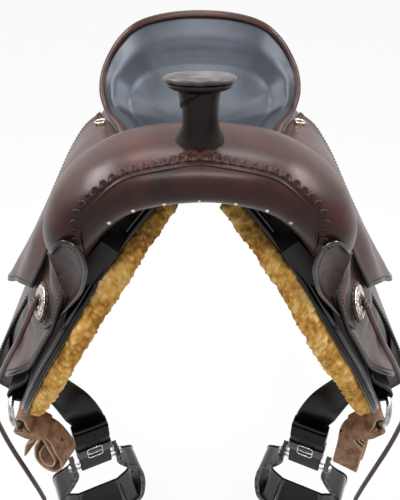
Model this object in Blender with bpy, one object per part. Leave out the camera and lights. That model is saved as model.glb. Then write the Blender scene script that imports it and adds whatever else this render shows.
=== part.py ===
# A western trail saddle, built in Blender 4.5 as separate pieces at their real size.
# Metres, +Z up. The horse looks along -Y, so +X is the near side, where the rider mounts.
# The origin lies on the horse's back, midway between the bars and below the fork.

import math

import bmesh
import bpy
from mathutils import Vector

# Clearances between pieces
GAP = 0.0004
LAYER_GAP = 0.0007
STATION_STEP = 0.044
SWING_GAP = 0.0009

# The horse's side, as arcs that fall outwards from a top line on each side of the spine
TOP_LINE_FRONT_X = 0.034
TOP_LINE_REAR_X = 0.050
TOP_LINE_FRONT_Z = 0.076
TOP_LINE_SEAT_Z = 0.045
TOP_LINE_REAR_Z = 0.055
SLOPE_FRONT = math.radians(46)
SLOPE_REAR = math.radians(39)
SIDE_CURL = math.radians(68)

# Skirts and fleece
SKIRT_FRONT_Y = -0.068
SKIRT_REAR_Y = 0.525
SKIRT_DROP_FRONT = 0.440
SKIRT_DROP_REAR = 0.335
SKIRT_FRONT_CUT_LENGTH = 0.150
SKIRT_FRONT_CUT_HEIGHT = 0.165
SKIRT_SET_BACK = 0.062
SKIRT_SET_BACK_LENGTH = 0.110
SKIRT_SET_BACK_FROM = 0.075
SKIRT_SET_BACK_TO = 0.150
SKIRT_REAR_CORNER = 0.125
SKIRT_THICKNESS = 0.005
SKIRT_UNDER_SEAT = 0.050
FLEECE_THICKNESS = 0.023
FLEECE_INSET = 0.003
PANEL_THICKNESS = 0.004
PANEL_TOP = 0.165
PANEL_FRONT_Y = -0.052
PANEL_REAR_Y = 0.150

# Tree
BAR_THICKNESS = 0.0216
BAR_TOP = 0.050
BAR_DROP = 0.152
BAR_FRONT_Y = -0.026
BAR_REAR_Y = 0.455
COVER_THICKNESS = 0.005
FORK_HALF_DEPTH = 0.058
FORK_FOOT_HALF_DEPTH = 0.033
FORK_FOOT_Y = 0.010
CANTLE_BOARD_THICKNESS = 0.015
CANTLE_BACK_THICKNESS = 0.0035

# Horn
HORN_FOOT = Vector((0.0, -0.004, 0.116))
HORN_HEAD = Vector((0.0, -0.020, 0.1955))
HORN_CORE_RADIUS = 0.0095
HORN_NECK_RADIUS = 0.0166
HORN_FLARE_RADIUS = 0.0245
HORN_CAP_RADIUS = 0.0315
HORN_CAP_THICKNESS = 0.0062
HORN_EDGE_RADIUS = 0.0285
HORN_EDGE_THICKNESS = 0.0070
HORN_CAP_TILT = math.radians(12)

# Seat
SEAT_CENTRE = Vector((0.0, 0.235, 0.047))
SEAT_DISH_POWER = 2.4
PAD_THICKNESS = 0.0125
PAD_ROLL = 0.005
GROUND_SEAT_THICKNESS = 0.007
BINDING_HALF_WIDTH = 0.0055
BINDING_HALF_HEIGHT = 0.0105
BINDING_CLEARANCE = 0.0012
JOCKEY_THICKNESS = 0.0045

# Rigging
DEE_WIDTH = 0.074
DEE_DROP = 0.062
DEE_WIRE = 0.0040
DEE_Y = 0.062
DEE_STAND_OFF = 0.0270
DEE_S = 0.404
CHAPE_WIDTH = 0.034

# Fender, stirrup leather and stirrup
HANG_Y = 0.170
LEATHER_WIDTH = 0.060
LEATHER_THICKNESS = 0.0042
FENDER_THICKNESS = 0.0045
LEATHER_ON_BAR_S = 0.105
TWIST = math.radians(65)
TWIST_TOP = -0.388
TWIST_BOTTOM = -0.505
FENDER_TOP = -0.060
FENDER_BOTTOM = -0.396
BOLT_Z = -0.618
BOLT_X = 0.205
BOLT_RADIUS = 0.0040
ROLLER_RADIUS = 0.0064
LOOP_RADIUS = 0.0092
STIRRUP_WALL = 0.0085
STIRRUP_NECK_HALF = 0.0395
STIRRUP_HEIGHT = 0.150
STIRRUP_DEPTH = 0.074
TREAD_LENGTH = 0.092
TREAD_THICKNESS = 0.005
SLEEVE_HEIGHT = 0.030
SLEEVE_Z = -0.528
SLEEVE_WALL = 0.0018
HOBBLE_Z = -0.570
HOBBLE_HEIGHT = 0.020
HOBBLE_WALL = 0.0026

# Conchos and strings
CONCHO_RADIUS = 0.0200
CONCHO_THICKNESS = 0.0040
ROSETTE_RADIUS = 0.0240
ROSETTE_THICKNESS = 0.0026
STRING_RADIUS = 0.0040
TIE_DEE_WIRE = 0.0014
TIE_DEE_REACH = 0.013
TIE_DEE_HALF_WIDTH = 0.009

BAR_OUTER = SKIRT_THICKNESS + LAYER_GAP + BAR_THICKNESS


def clear_scene():
    for old in list(bpy.data.objects):
        bpy.data.objects.remove(old, do_unlink=True)


def finish(name, colour, roughness, metallic=0.0):
    made = bpy.data.materials.new(name)
    made.use_nodes = True
    shader = made.node_tree.nodes["Principled BSDF"]
    shader.inputs["Base Color"].default_value = (*colour, 1.0)
    shader.inputs["Roughness"].default_value = roughness
    shader.inputs["Metallic"].default_value = metallic
    made.diffuse_color = (*colour, 1.0)
    return made


def ease(a, b, start, end, at):
    """A value that goes smoothly from a at start to b at end."""
    t = min(1.0, max(0.0, (at - start) / (end - start)))
    return a + (b - a) * t * t * (3 - 2 * t)


def smooth_line(points, per_span):
    """Points along a smooth curve through the given ones."""
    points = [Vector(p) for p in points]
    ends = [2 * points[0] - points[1]] + points + [2 * points[-1] - points[-2]]
    out = []
    for i in range(1, len(ends) - 2):
        a, b, c, d = ends[i - 1 : i + 3]
        for j in range(per_span):
            t = j / per_span
            out.append(
                0.5
                * (
                    2 * b
                    + (c - a) * t
                    + (2 * a - 5 * b + 4 * c - d) * t * t
                    + (3 * b - a - 3 * c + d) * t * t * t
                )
            )
    out.append(points[-1])
    return out


def value_through(knots, at):
    """Reads a smooth value at a place, from (place, value) pairs in rising order."""
    if at <= knots[0][0]:
        return knots[0][1]
    for (a, low), (b, high) in zip(knots, knots[1:]):
        if at <= b:
            return ease(low, high, a, b, at)
    return knots[-1][1]


def spread(start, end, count):
    return [start + (end - start) * i / (count - 1) for i in range(count)]


def mesh_object(name, points, faces, skin, origin=(0, 0, 0), closed=True):
    origin = Vector(origin)
    mesh = bpy.data.meshes.new(name)
    mesh.from_pydata([Vector(p) - origin for p in points], [], faces)
    shape = bmesh.new()
    shape.from_mesh(mesh)
    if closed:
        bmesh.ops.recalc_face_normals(shape, faces=shape.faces)
    shape.to_mesh(mesh)
    shape.free()
    mesh.shade_smooth()
    mesh.set_sharp_from_angle(angle=math.radians(40))
    mesh.materials.append(skin)
    made = bpy.data.objects.new(name, mesh)
    made.location = origin
    bpy.context.scene.collection.objects.link(made)
    return made


def grid_faces(rows, columns):
    """Two triangles a cell, all split the same way, so that layers over each other stay clear."""
    faces = []
    for i in range(rows - 1):
        for j in range(columns - 1):
            a, b = i * columns + j, (i + 1) * columns + j
            faces += [(a, a + 1, b + 1), (a, b + 1, b)]
    return faces


def sheet(name, grid, thickness, skin, outward, origin=(0, 0, 0)):
    """A sheet whose inner face is the grid and that is thickened towards outward."""
    columns = len(grid[0])
    points = [Vector(p) for row in grid for p in row]
    faces = grid_faces(len(grid), columns)
    a, b, c = (points[i] for i in faces[len(faces) // 2])
    if (b - a).cross(c - a).dot(Vector(outward)) < 0:
        faces = [face[::-1] for face in faces]
    made = mesh_object(name, points, faces, skin, origin, closed=False)
    wall = made.modifiers.new("Wall", "SOLIDIFY")
    wall.thickness = thickness
    wall.offset = 1.0
    wall.use_even_offset = True
    return made


def loft(name, rings, skin, origin=(0, 0, 0), cyclic=False):
    """A solid skinned over rings of equal size, capped at its ends unless it closes on itself."""
    count = len(rings[0])
    points = [p for ring in rings for p in ring]
    faces = []
    for i in range(len(rings) if cyclic else len(rings) - 1):
        low, high = i * count, ((i + 1) % len(rings)) * count
        for j in range(count):
            k = (j + 1) % count
            faces.append((low + j, low + k, high + k, high + j))
    if not cyclic:
        faces.append(tuple(reversed(range(count))))
        faces.append(tuple(range(len(points) - count, len(points))))
    return mesh_object(name, points, faces, skin, origin)


def round_ring(centre, side, up, radius, count):
    turns = [2 * math.pi * i / count for i in range(count)]
    return [centre + radius * (math.cos(t) * side + math.sin(t) * up) for t in turns]


def rod(name, start, end, radius, skin, count=16, origin=(0, 0, 0)):
    start, end = Vector(start), Vector(end)
    along = (end - start).normalized()
    side = along.orthogonal().normalized()
    up = along.cross(side)
    rings = [round_ring(p, side, up, radius, count) for p in (start, end)]
    return loft(name, rings, skin, origin)


def turned(name, centre, axis, profile, skin, count=24, origin=(0, 0, 0)):
    """A turned piece. Its profile is (height along the axis, radius) pairs, bottom to top."""
    axis = Vector(axis).normalized()
    side = axis.orthogonal().normalized()
    up = axis.cross(side)
    rings = [round_ring(Vector(centre) + h * axis, side, up, r, count) for h, r in profile]
    return loft(name, rings, skin, origin)


def wire(name, path, radius, skin, origin=(0, 0, 0), cyclic=False, sides=2):
    """A round wire or cord along a path."""
    origin = Vector(origin)
    line = bpy.data.curves.new(name, "CURVE")
    line.dimensions = "3D"
    line.bevel_depth = radius
    line.bevel_resolution = sides
    line.use_fill_caps = not cyclic
    spline = line.splines.new("POLY")
    spline.points.add(len(path) - 1)
    for point, place in zip(spline.points, path):
        point.co = (*(Vector(place) - origin), 1.0)
    spline.use_cyclic_u = cyclic
    line.materials.append(skin)
    made = bpy.data.objects.new(name, line)
    made.location = origin
    bpy.context.scene.collection.objects.link(made)
    return made


def strap(name, path, widths, width, thickness, skin, origin=(0, 0, 0)):
    """A flat strap along a path; widths holds its crosswise direction at each point."""
    rings = []
    for i, (place, across) in enumerate(zip(path, widths)):
        before = path[max(i - 1, 0)]
        after = path[min(i + 1, len(path) - 1)]
        through = (after - before).normalized().cross(across).normalized()
        half_w, half_t = across * width / 2, through * thickness / 2
        low, high = place - half_t, place + half_t
        rings.append([low - half_w, low + half_w, high + half_w, high - half_w])
    return loft(name, rings, skin, origin)


def hidden(cutter):
    cutter.hide_render = True
    cutter.display_type = "WIRE"
    return cutter


def apply_boolean(target, other, operation):
    step = target.modifiers.new(operation.title(), "BOOLEAN")
    step.operation = operation
    step.solver = "EXACT"
    step.object = other


def cut(target, *cutters):
    for cutter in cutters:
        apply_boolean(target, cutter, "DIFFERENCE")


def top_line(y):
    """The start of the side's arc at a place along the saddle: x, z and slope."""
    x = ease(TOP_LINE_FRONT_X, TOP_LINE_REAR_X, -0.02, 0.16, y)
    z = ease(TOP_LINE_FRONT_Z, TOP_LINE_SEAT_Z, -0.06, 0.17, y)
    z += ease(0.0, TOP_LINE_REAR_Z - TOP_LINE_SEAT_Z, 0.28, 0.54, y)
    slope = ease(SLOPE_FRONT, SLOPE_REAR, 0.20, 0.54, y)
    return x, z, slope


def side_frame(y, s):
    """A point of the near side's surface, s down its arc, with its tangent and outward normal."""
    x, z, slope = top_line(y)
    angle = slope + SIDE_CURL * s
    place = Vector(
        (
            x + (math.sin(angle) - math.sin(slope)) / SIDE_CURL,
            y,
            z + (math.cos(angle) - math.cos(slope)) / SIDE_CURL,
        )
    )
    down = Vector((math.cos(angle), 0.0, -math.sin(angle)))
    out = Vector((math.sin(angle), 0.0, math.cos(angle)))
    return place, down, out


def on_side(y, s, stand_off):
    place, _, out = side_frame(y, s)
    return place + stand_off * out


def mirrored(point, side):
    return Vector((point[0] * side, point[1], point[2]))


def mirror_grid(grid, side):
    return [[mirrored(p, side) for p in row] for row in grid]


def side_name(stem, side):
    return f"{stem}_near" if side > 0 else f"{stem}_off"


def skirt_drop(y, inset=0.0):
    """How far down its arc the skirt reaches, cut away at the front and rounded at the rear."""
    front, rear = SKIRT_FRONT_Y + inset, SKIRT_REAR_Y - inset
    drop = ease(SKIRT_DROP_FRONT, SKIRT_DROP_REAR, 0.04, 0.42, y) - inset
    if y - front < SKIRT_FRONT_CUT_LENGTH:
        drop -= SKIRT_FRONT_CUT_HEIGHT * (1 - (y - front) / SKIRT_FRONT_CUT_LENGTH) ** 1.3
    if rear - y < SKIRT_REAR_CORNER:
        reach = (SKIRT_REAR_CORNER - (rear - y)) / SKIRT_REAR_CORNER
        drop -= SKIRT_REAR_CORNER * (1 - math.sqrt(max(0.0, 1 - reach * reach)))
    return drop


def skirt_set_back(y, s, front):
    """How far the skirt's upper front corner lies behind its front edge, below the fork."""
    fade = max(0.0, 1 - (y - front) / SKIRT_SET_BACK_LENGTH)
    return SKIRT_SET_BACK * ease(1.0, 0.0, SKIRT_SET_BACK_FROM, SKIRT_SET_BACK_TO, s) * fade


def side_stations(front, rear, more=()):
    """Places along the saddle that all layers of the side share, with a layer's own ends."""
    steps = range(math.floor(front / STATION_STEP), math.ceil(rear / STATION_STEP) + 1)
    shared = [i * STATION_STEP for i in steps]
    own = [front, *more, rear]
    keep = [y for y in shared if all(abs(y - o) > STATION_STEP / 4 for o in own) and front < y < rear]
    return sorted(own + keep)


def skirt_stations(inset):
    """The shared places, and more in the skirt's rounded corners."""
    front, rear = SKIRT_FRONT_Y + inset, SKIRT_REAR_Y - inset
    more = [front + 0.006, front + 0.022]
    more += [rear - SKIRT_REAR_CORNER * (1 - math.cos(math.radians(a))) for a in (38, 19)]
    return side_stations(front, rear, more)


def skirt_top(y):
    """Where the skirt starts on its arc: high at the gullet and behind the cantle, low under the seat."""
    return ease(0.0, SKIRT_UNDER_SEAT, 0.0, 0.11, y) - ease(0.0, SKIRT_UNDER_SEAT - 0.012, 0.37, 0.43, y)


def skirt_grid(inset, stand_off):
    grid = []
    for y in skirt_stations(inset):
        top, bottom = skirt_top(y) + inset, skirt_drop(y, inset)
        row = []
        for s in spread(top, bottom, 9):
            row.append(on_side(y + skirt_set_back(y, s, SKIRT_FRONT_Y + inset), s, stand_off))
        grid.append(row)
    return grid


def add_skirts(wool, dark):
    for side in (1, -1):
        grid = mirror_grid(skirt_grid(0.0, 0.0), side)
        sheet(side_name("skirt", side), grid, SKIRT_THICKNESS, dark, (side, 0, 0.5))
        grid = mirror_grid(skirt_grid(FLEECE_INSET, -2 * LAYER_GAP), side)
        sheet(side_name("fleece", side), grid, FLEECE_THICKNESS, wool, (-side, 0, -0.5))


def add_bars(wood):
    for side in (1, -1):
        grid = []
        for y in side_stations(BAR_FRONT_Y, BAR_REAR_Y, (BAR_FRONT_Y + 0.015, BAR_REAR_Y - 0.015)):
            end = min(y - BAR_FRONT_Y, BAR_REAR_Y - y)
            round_off = 0.016 * (1 - min(1.0, end / 0.03))
            drop = ease(BAR_DROP, BAR_DROP - 0.012, 0.0, 0.12, y)
            row = spread(BAR_TOP + round_off, drop - round_off, 5)
            grid.append([on_side(y, s, SKIRT_THICKNESS + LAYER_GAP) for s in row])
        sheet(side_name("tree_bar", side), mirror_grid(grid, side), BAR_THICKNESS, wood, (side, 0, 0.5))


def bar_envelope(side, clearance):
    """Everything below the bars' upper face, as a cutter for what sits on them."""
    grid = [
        [on_side(y, s, BAR_OUTER + clearance) for s in spread(BAR_TOP - 0.006, 0.30, 12)]
        for y in side_stations(-0.12, 0.60)
    ]
    name = side_name("bar_envelope", side)
    return hidden(sheet(name, mirror_grid(grid, side), 0.075, cutter_finish(), (-side, 0, -0.5)))


def cutter_finish():
    return bpy.data.materials.get("Cutter") or finish("Cutter", (0.5, 0.5, 0.5), 0.5)


# The fork's half profile seen from the front, swell outside and gullet inside
SWELL_OUTLINE = (
    (0.000, 0.147),
    (0.042, 0.1445),
    (0.078, 0.137),
    (0.110, 0.121),
    (0.138, 0.098),
    (0.1545, 0.070),
    (0.1600, 0.042),
    (0.1575, 0.016),
    (0.1520, -0.006),
    (0.1480, -0.028),
)
GULLET_OUTLINE = (
    (0.000, 0.093),
    (0.032, 0.0895),
    (0.060, 0.081),
    (0.081, 0.066),
    (0.096, 0.049),
    (0.107, 0.032),
    (0.114, 0.016),
    (0.119, 0.000),
    (0.122, -0.016),
    (0.124, -0.034),
)
FORK_SPANS = 1
FORK_OPEN_ANGLE = math.radians(146)
FORK_SQUARENESS = 2.5


def fork_sections():
    """For each station over the arch: its middle, outward direction, half height and half depth."""
    out_half = smooth_line([(x, 0, z) for x, z in SWELL_OUTLINE], FORK_SPANS)
    in_half = smooth_line([(x, 0, z) for x, z in GULLET_OUTLINE], FORK_SPANS)
    half = []
    for i, (outer, inner) in enumerate(zip(out_half, in_half)):
        down = i / (len(out_half) - 1)
        depth = ease(FORK_HALF_DEPTH, FORK_FOOT_HALF_DEPTH, 0.45, 0.85, down)
        shift = ease(0.0, FORK_FOOT_Y, 0.45, 0.85, down)
        middle = (outer + inner) / 2 + Vector((0, shift, 0))
        half.append((middle, (outer - inner).normalized(), (outer - inner).length / 2, depth))
    left = [(mirrored(m, -1), mirrored(d, -1), h, b) for m, d, h, b in half[:0:-1]]
    return left + half


def fork_point(section, angle, inset):
    """A point round one fork section. Angle 0 faces outwards and 90 degrees faces the rear."""
    middle, out, height, depth = section
    c, s = math.cos(angle), math.sin(angle)
    power = 2 / FORK_SQUARENESS
    up = math.copysign(abs(c) ** power, c) * (height - inset)
    back = math.copysign(abs(s) ** power, s) * (depth - inset)
    return middle + up * out + Vector((0, back, 0))


def fork_loft(name, inset, skin, angles):
    rings = [[fork_point(section, a, inset) for a in angles] for section in fork_sections()]
    return loft(name, rings, skin)


def fork_shell(name, angles, skin):
    rings = []
    for section in fork_sections():
        outer = [fork_point(section, a, 0.0) for a in angles]
        inner = [fork_point(section, a, COVER_THICKNESS) for a in reversed(angles)]
        rings.append(outer + inner)
    return loft(name, rings, skin)


def add_fork(wood, brown, dark, envelopes, horn_hole):
    seam = math.radians(0.8)
    over = spread(-FORK_OPEN_ANGLE, FORK_OPEN_ANGLE, 13)
    under = spread(FORK_OPEN_ANGLE + seam, 2 * math.pi - FORK_OPEN_ANGLE - seam, 4)
    core = fork_loft("tree_fork", COVER_THICKNESS + LAYER_GAP, wood, over + under[1:-1])
    cut(core, *envelopes, horn_hole)
    cut(fork_shell("fork_cover", over, brown), *envelopes, horn_hole)
    cut(fork_shell("gullet_lining", under, dark), *envelopes)


def horn_axis():
    return (HORN_HEAD - HORN_FOOT).normalized()


def cap_axis():
    return Vector((0.0, math.sin(HORN_CAP_TILT), math.cos(HORN_CAP_TILT)))


HORN_SIDES = 18
# How far up the horn, and the wrap's radius there
HORN_WRAP_PROFILE = (
    (0.20, HORN_FLARE_RADIUS + 0.003),
    (0.34, HORN_FLARE_RADIUS),
    (0.48, 0.0190),
    (0.62, HORN_NECK_RADIUS),
    (0.78, HORN_NECK_RADIUS),
    (0.92, 0.0176),
    (1.00, 0.0184),
)


def horn_ring(t, radius):
    """A ring round the horn, square to it below and in the cap's plane at its head."""
    side = Vector((1, 0, 0))
    normal = horn_axis().lerp(cap_axis(), ease(0.0, 1.0, 0.55, 1.0, t)).normalized()
    return round_ring(HORN_FOOT.lerp(HORN_HEAD, t), side, normal.cross(side), radius, HORN_SIDES)


def add_horn(steel, brown, dark, swell_cutter):
    cap = cap_axis()
    side = Vector((1, 0, 0))
    up = cap.cross(side)
    rings = [horn_ring(t, HORN_CORE_RADIUS) for t in (0.0, *(t for t, _ in HORN_WRAP_PROFILE))]
    head = HORN_HEAD + cap * (HORN_EDGE_THICKNESS + GAP)
    rings.append(round_ring(head, side, up, HORN_CORE_RADIUS - GAP, HORN_SIDES))
    loft("horn_core", rings, steel)

    # The wrap: a flared sleeve round the core, seated on the fork cover
    outer = [horn_ring(t, radius) for t, radius in HORN_WRAP_PROFILE]
    inner = [horn_ring(t, HORN_CORE_RADIUS + GAP) for t, _ in HORN_WRAP_PROFILE]
    wrap = loft("horn_wrap", outer + inner[::-1], brown, cyclic=True)
    cut(wrap, swell_cutter)

    # The cap: a lower leather edge with the core through it, and the top above
    foot = HORN_HEAD + cap * GAP
    radii = (
        (0.0, 0.0190),
        (0.0022, 0.0245),
        (0.0048, HORN_EDGE_RADIUS),
        (HORN_EDGE_THICKNESS, HORN_EDGE_RADIUS - 0.001),
    )
    outer = [round_ring(foot + cap * h, side, up, r, 22) for h, r in radii]
    inner = [round_ring(foot + cap * h, side, up, HORN_CORE_RADIUS + GAP, 22) for h, _ in radii]
    loft("horn_cap_edge", outer + inner[::-1], dark, cyclic=True)
    top = foot + cap * (HORN_EDGE_THICKNESS + GAP)
    dome = (
        (0.0, HORN_CAP_RADIUS - 0.0012),
        (0.0016, HORN_CAP_RADIUS),
        (HORN_CAP_THICKNESS - 0.0022, HORN_CAP_RADIUS - 0.0004),
        (HORN_CAP_THICKNESS - 0.0008, HORN_CAP_RADIUS - 0.0026),
        (HORN_CAP_THICKNESS, HORN_CAP_RADIUS - 0.0080),
    )
    rings = [round_ring(top + cap * h, side, up, r, 26) for h, r in dome]
    loft("horn_cap", rings, brown)


# Half of the seat's rim, from the middle of its front to the top of the cantle
SEAT_RIM = (
    (0.000, 0.050, 0.108),
    (0.038, 0.054, 0.104),
    (0.068, 0.082, 0.088),
    (0.080, 0.124, 0.074),
    (0.090, 0.170, 0.065),
    (0.1054, 0.240, 0.0513),
    (0.1330, 0.310, 0.0410),
    (0.1455, 0.342, 0.0520),
    (0.1470, 0.364, 0.0700),
    (0.1405, 0.382, 0.0890),
    (0.1214, 0.393, 0.1167),
    (0.0932, 0.398, 0.1384),
    (0.0523, 0.400, 0.1500),
    (0.000, 0.400, 0.1540),
)
RIM_SPANS = 1


def seat_rim():
    half = smooth_line(SEAT_RIM, RIM_SPANS)
    return half + [mirrored(p, -1) for p in half[-2:0:-1]]


def seat_top(rim_point, r):
    flat = SEAT_CENTRE.lerp(rim_point, r)
    return Vector((flat.x, flat.y, SEAT_CENTRE.z + (rim_point.z - SEAT_CENTRE.z) * r**SEAT_DISH_POWER))


def seat_frame(rim, k, r):
    """A point of the seat's top, with the direction out to the rim, along the rim and up."""
    step = 0.02
    here = seat_top(rim[k], r)
    r = max(r, 0.08)
    outward = (seat_top(rim[k], r + step) - seat_top(rim[k], r - step)).normalized()
    along = (seat_top(rim[(k + 1) % len(rim)], r) - seat_top(rim[k - 1], r)).normalized()
    up = outward.cross(along).normalized()
    if up.z < 0:
        up = -up
    return here, outward, along, up


def seat_ring(rim, r, below, beyond=0.0):
    ring = []
    for k in range(len(rim)):
        here, outward, _, up = seat_frame(rim, k, r)
        ring.append(here - below * up + beyond * outward)
    return ring


def capped_bowl(name, rings, skin):
    """A closed form skinned over rings from its upper middle out and back to its lower middle."""
    count = len(rings[0])
    points = [p for ring in rings for p in ring]
    first = sum(rings[0], Vector()) / count
    last = sum(rings[-1], Vector()) / count
    points += [first, last]
    faces = []
    for i in range(len(rings) - 1):
        near, far = i * count, (i + 1) * count
        if (rings[i][0] - first).length > (rings[i + 1][0] - first).length:
            near, far = far, near
        for j in range(count):
            k = (j + 1) % count
            faces += [(near + j, near + k, far + k), (near + j, far + k, far + j)]
    end = (len(rings) - 1) * count
    for j in range(count):
        k = (j + 1) % count
        faces.append((len(points) - 2, k, j))
        faces.append((len(points) - 1, end + j, end + k))
    return mesh_object(name, points, faces, skin)


def add_seat(black, dark, envelopes, swell_cutter):
    rim = seat_rim()
    rings = []
    for r in (0.16, 0.34, 0.52, 0.68, 0.79, 0.86, 0.92, 0.97):
        roll = PAD_ROLL * math.exp(-(((r - 0.88) / 0.07) ** 2))
        rings.append(seat_ring(rim, r, -roll))
    rings.append(seat_ring(rim, 1.0, 0.0015, -0.0010))
    rings.append(seat_ring(rim, 1.0, 0.0050, 0.0008))
    rings.append(seat_ring(rim, 1.0, 0.0095, -0.0018))
    for r in (0.90, 0.60, 0.30):
        rings.append(seat_ring(rim, r, PAD_THICKNESS))
    pad = capped_bowl("seat_pad", rings, black)
    cut(pad, swell_cutter)

    below = PAD_THICKNESS + LAYER_GAP
    bottom = below + GROUND_SEAT_THICKNESS
    rings = [seat_ring(rim, r, below) for r in (0.30, 0.60, 0.90, 0.965)]
    rings += [seat_ring(rim, r, bottom) for r in (0.965, 0.80, 0.50)]
    base = capped_bowl("ground_seat", rings, dark)
    cut(base, swell_cutter, *envelopes)


CANTLE_ARC = 7
BINDING_ARC = 10


def rear_indices(rim, spread_by):
    middle = (len(SEAT_RIM) - 1) * RIM_SPANS
    return range(middle - spread_by * RIM_SPANS, middle + spread_by * RIM_SPANS + 1)


def add_cantle(wood, brown, dark, envelopes):
    rim = seat_rim()
    below = PAD_THICKNESS + GROUND_SEAT_THICKNESS + 3 * LAYER_GAP
    arc = list(rear_indices(rim, CANTLE_ARC))
    grid = []
    for k in arc:
        row = []
        for r in (0.66, 0.76, 0.86, 0.965):
            here, _, _, up = seat_frame(rim, k, r)
            row.append(here - below * up)
        grid.append(row)
    board = sheet("tree_cantle", grid, CANTLE_BOARD_THICKNESS, wood, (0, 0.7, -0.7))
    cut(board, *envelopes)

    back_depth = below + CANTLE_BOARD_THICKNESS + 1.5 * LAYER_GAP
    grid = []
    for k in arc:
        row = []
        for r in (0.70, 0.80, 0.90, 0.985):
            here, _, _, up = seat_frame(rim, k, r)
            row.append(here - back_depth * up)
        grid.append(row)
    back = sheet("cantle_back", grid, CANTLE_BACK_THICKNESS, brown, (0, 0.7, -0.7))
    cut(back, *envelopes)

    rings = []
    for k in rear_indices(rim, BINDING_ARC):
        here, outward, _, up = seat_frame(rim, k, 1.0)
        centre = here + outward * (BINDING_HALF_WIDTH + BINDING_CLEARANCE)
        centre -= up * (BINDING_HALF_HEIGHT - 0.0025)
        ring = []
        for i in range(8):
            t = 2 * math.pi * i / 8
            place = outward * BINDING_HALF_WIDTH * math.cos(t) + up * BINDING_HALF_HEIGHT * math.sin(t)
            ring.append(centre + place)
        rings.append(ring)
    loft("cantle_binding", rings, brown)


# The seat jockey's cross sections: place along the saddle, then its line from the seat down
SEAT_JOCKEY_LINES = (
    (0.085, ((0.132, 0.068), (0.158, 0.038), (0.188, -0.012), (0.212, -0.052))),
    (0.120, ((0.134, 0.063), (0.164, 0.030), (0.205, -0.040), (0.246, -0.110))),
    (0.165, ((0.140, 0.055), (0.173, 0.022), (0.2114, -0.0475), (0.281, -0.160))),
    (0.210, ((0.147, 0.046), (0.177, 0.012), (0.222, -0.072), (0.279, -0.168))),
    (0.260, ((0.157, 0.035), (0.184, 0.002), (0.224, -0.070), (0.270, -0.148))),
    (0.305, ((0.169, 0.026), (0.191, -0.004), (0.220, -0.058), (0.254, -0.112))),
    (0.345, ((0.180, 0.026), (0.196, 0.000), (0.214, -0.034), (0.234, -0.070))),
)


def beside_binding(y):
    """The line along which the seat jockey starts, just outside the binding."""
    half = smooth_line(SEAT_RIM, RIM_SPANS)
    for a, b in zip(half, half[1:]):
        if a.y <= y <= b.y:
            rim = a.lerp(b, (y - a.y) / (b.y - a.y))
            return rim + Vector((2 * BINDING_HALF_WIDTH + BINDING_CLEARANCE + 0.0022, 0, -0.006))
    return half[-1]


# Where the seat jockey ends along the saddle, for each of its lines from the seat down
SEAT_JOCKEY_REAR = (0.312, 0.300, 0.284, 0.270, 0.260, 0.252, 0.244, 0.233, 0.216)


def seat_jockey_surface():
    lines = []
    for y, line in SEAT_JOCKEY_LINES:
        lines.append(smooth_line([beside_binding(y), *((x, y, z) for x, z in line)], 2))
    return [smooth_line([line[i] for line in lines], 2) for i in range(len(lines[0]))]


def seat_jockey_grid():
    """The surface from its front edge back to a rear edge that slants under the seat."""
    columns = []
    for column, rear in zip(seat_jockey_surface(), SEAT_JOCKEY_REAR):
        share = (rear - column[0].y) / (column[-1].y - column[0].y)
        places = []
        for point in column:
            y = column[0].y + (point.y - column[0].y) * share
            for a, b in zip(column, column[1:]):
                if a.y <= y <= b.y + 1e-9:
                    places.append(a.lerp(b, (y - a.y) / (b.y - a.y)))
                    break
        columns.append(places)
    return [[column[j] for column in columns] for j in range(len(columns[0]))]


# How far the front jockey stands off the horse's side, from the fork foot down to its tip
FRONT_JOCKEY_FRONT = ((0.085, 0.0250), (0.150, 0.0180), (0.192, 0.0125), (0.250, 0.0125), (0.345, 0.0280))
FRONT_JOCKEY_REAR = ((0.085, 0.0475), (0.130, 0.0440), (0.190, 0.0160), (0.250, 0.0160), (0.345, 0.0380))
FRONT_JOCKEY_EDGES = (
    (0.086, -0.018, 0.020),
    (0.100, -0.036, 0.045),
    (0.125, -0.046, 0.062),
    (0.165, -0.047, 0.068),
    (0.210, -0.044, 0.070),
    (0.255, -0.034, 0.070),
    (0.300, -0.014, 0.068),
    (0.330, 0.008, 0.062),
    (0.345, 0.026, 0.050),
)


def front_jockey_point(y, s):
    front = value_through(FRONT_JOCKEY_FRONT, s)
    rear = value_through(FRONT_JOCKEY_REAR, s)
    return on_side(y, s, ease(front, rear, -0.050, -0.004, y))


def front_jockey_grid():
    grid = []
    edges = smooth_line(FRONT_JOCKEY_EDGES, 1)
    for s, front, rear in edges:
        grid.append([front_jockey_point(y, s) for y in spread(front, rear, 8)])
    return grid


REAR_JOCKEY_WIDEST_Y = 0.385
REAR_JOCKEY_REAR_Y = 0.514
REAR_JOCKEY_FRONT_RISE = 0.092
REAR_JOCKEY_STATIONS = (
    0.294, 0.310, 0.330, 0.352, 0.372, 0.390, 0.404, 0.420, 0.440, 0.462, 0.482, 0.498, 0.510,
)


def rear_jockey_point(y, s):
    off = ease(BAR_OUTER + 2 * LAYER_GAP, SKIRT_THICKNESS + LAYER_GAP, 0.150, 0.215, s)
    off = ease(off, SKIRT_THICKNESS + LAYER_GAP + 0.003, 0.461, 0.482, y)
    return on_side(y, s, off)


def rear_jockey_grid():
    grid = []
    for y in REAR_JOCKEY_STATIONS:
        reach = max(0.0, y - REAR_JOCKEY_WIDEST_Y) / (REAR_JOCKEY_REAR_Y - REAR_JOCKEY_WIDEST_Y)
        ahead = max(0.0, REAR_JOCKEY_WIDEST_Y - y) / (REAR_JOCKEY_WIDEST_Y - REAR_JOCKEY_STATIONS[0])
        bottom = 0.075 + 0.205 * math.sqrt(max(0.0, 1 - reach**2)) - REAR_JOCKEY_FRONT_RISE * ahead**1.6
        top = ease(0.150, 0.012, 0.352, 0.412, y)
        grid.append([rear_jockey_point(y, s) for s in spread(top, bottom, 8)])
    return grid


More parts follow.
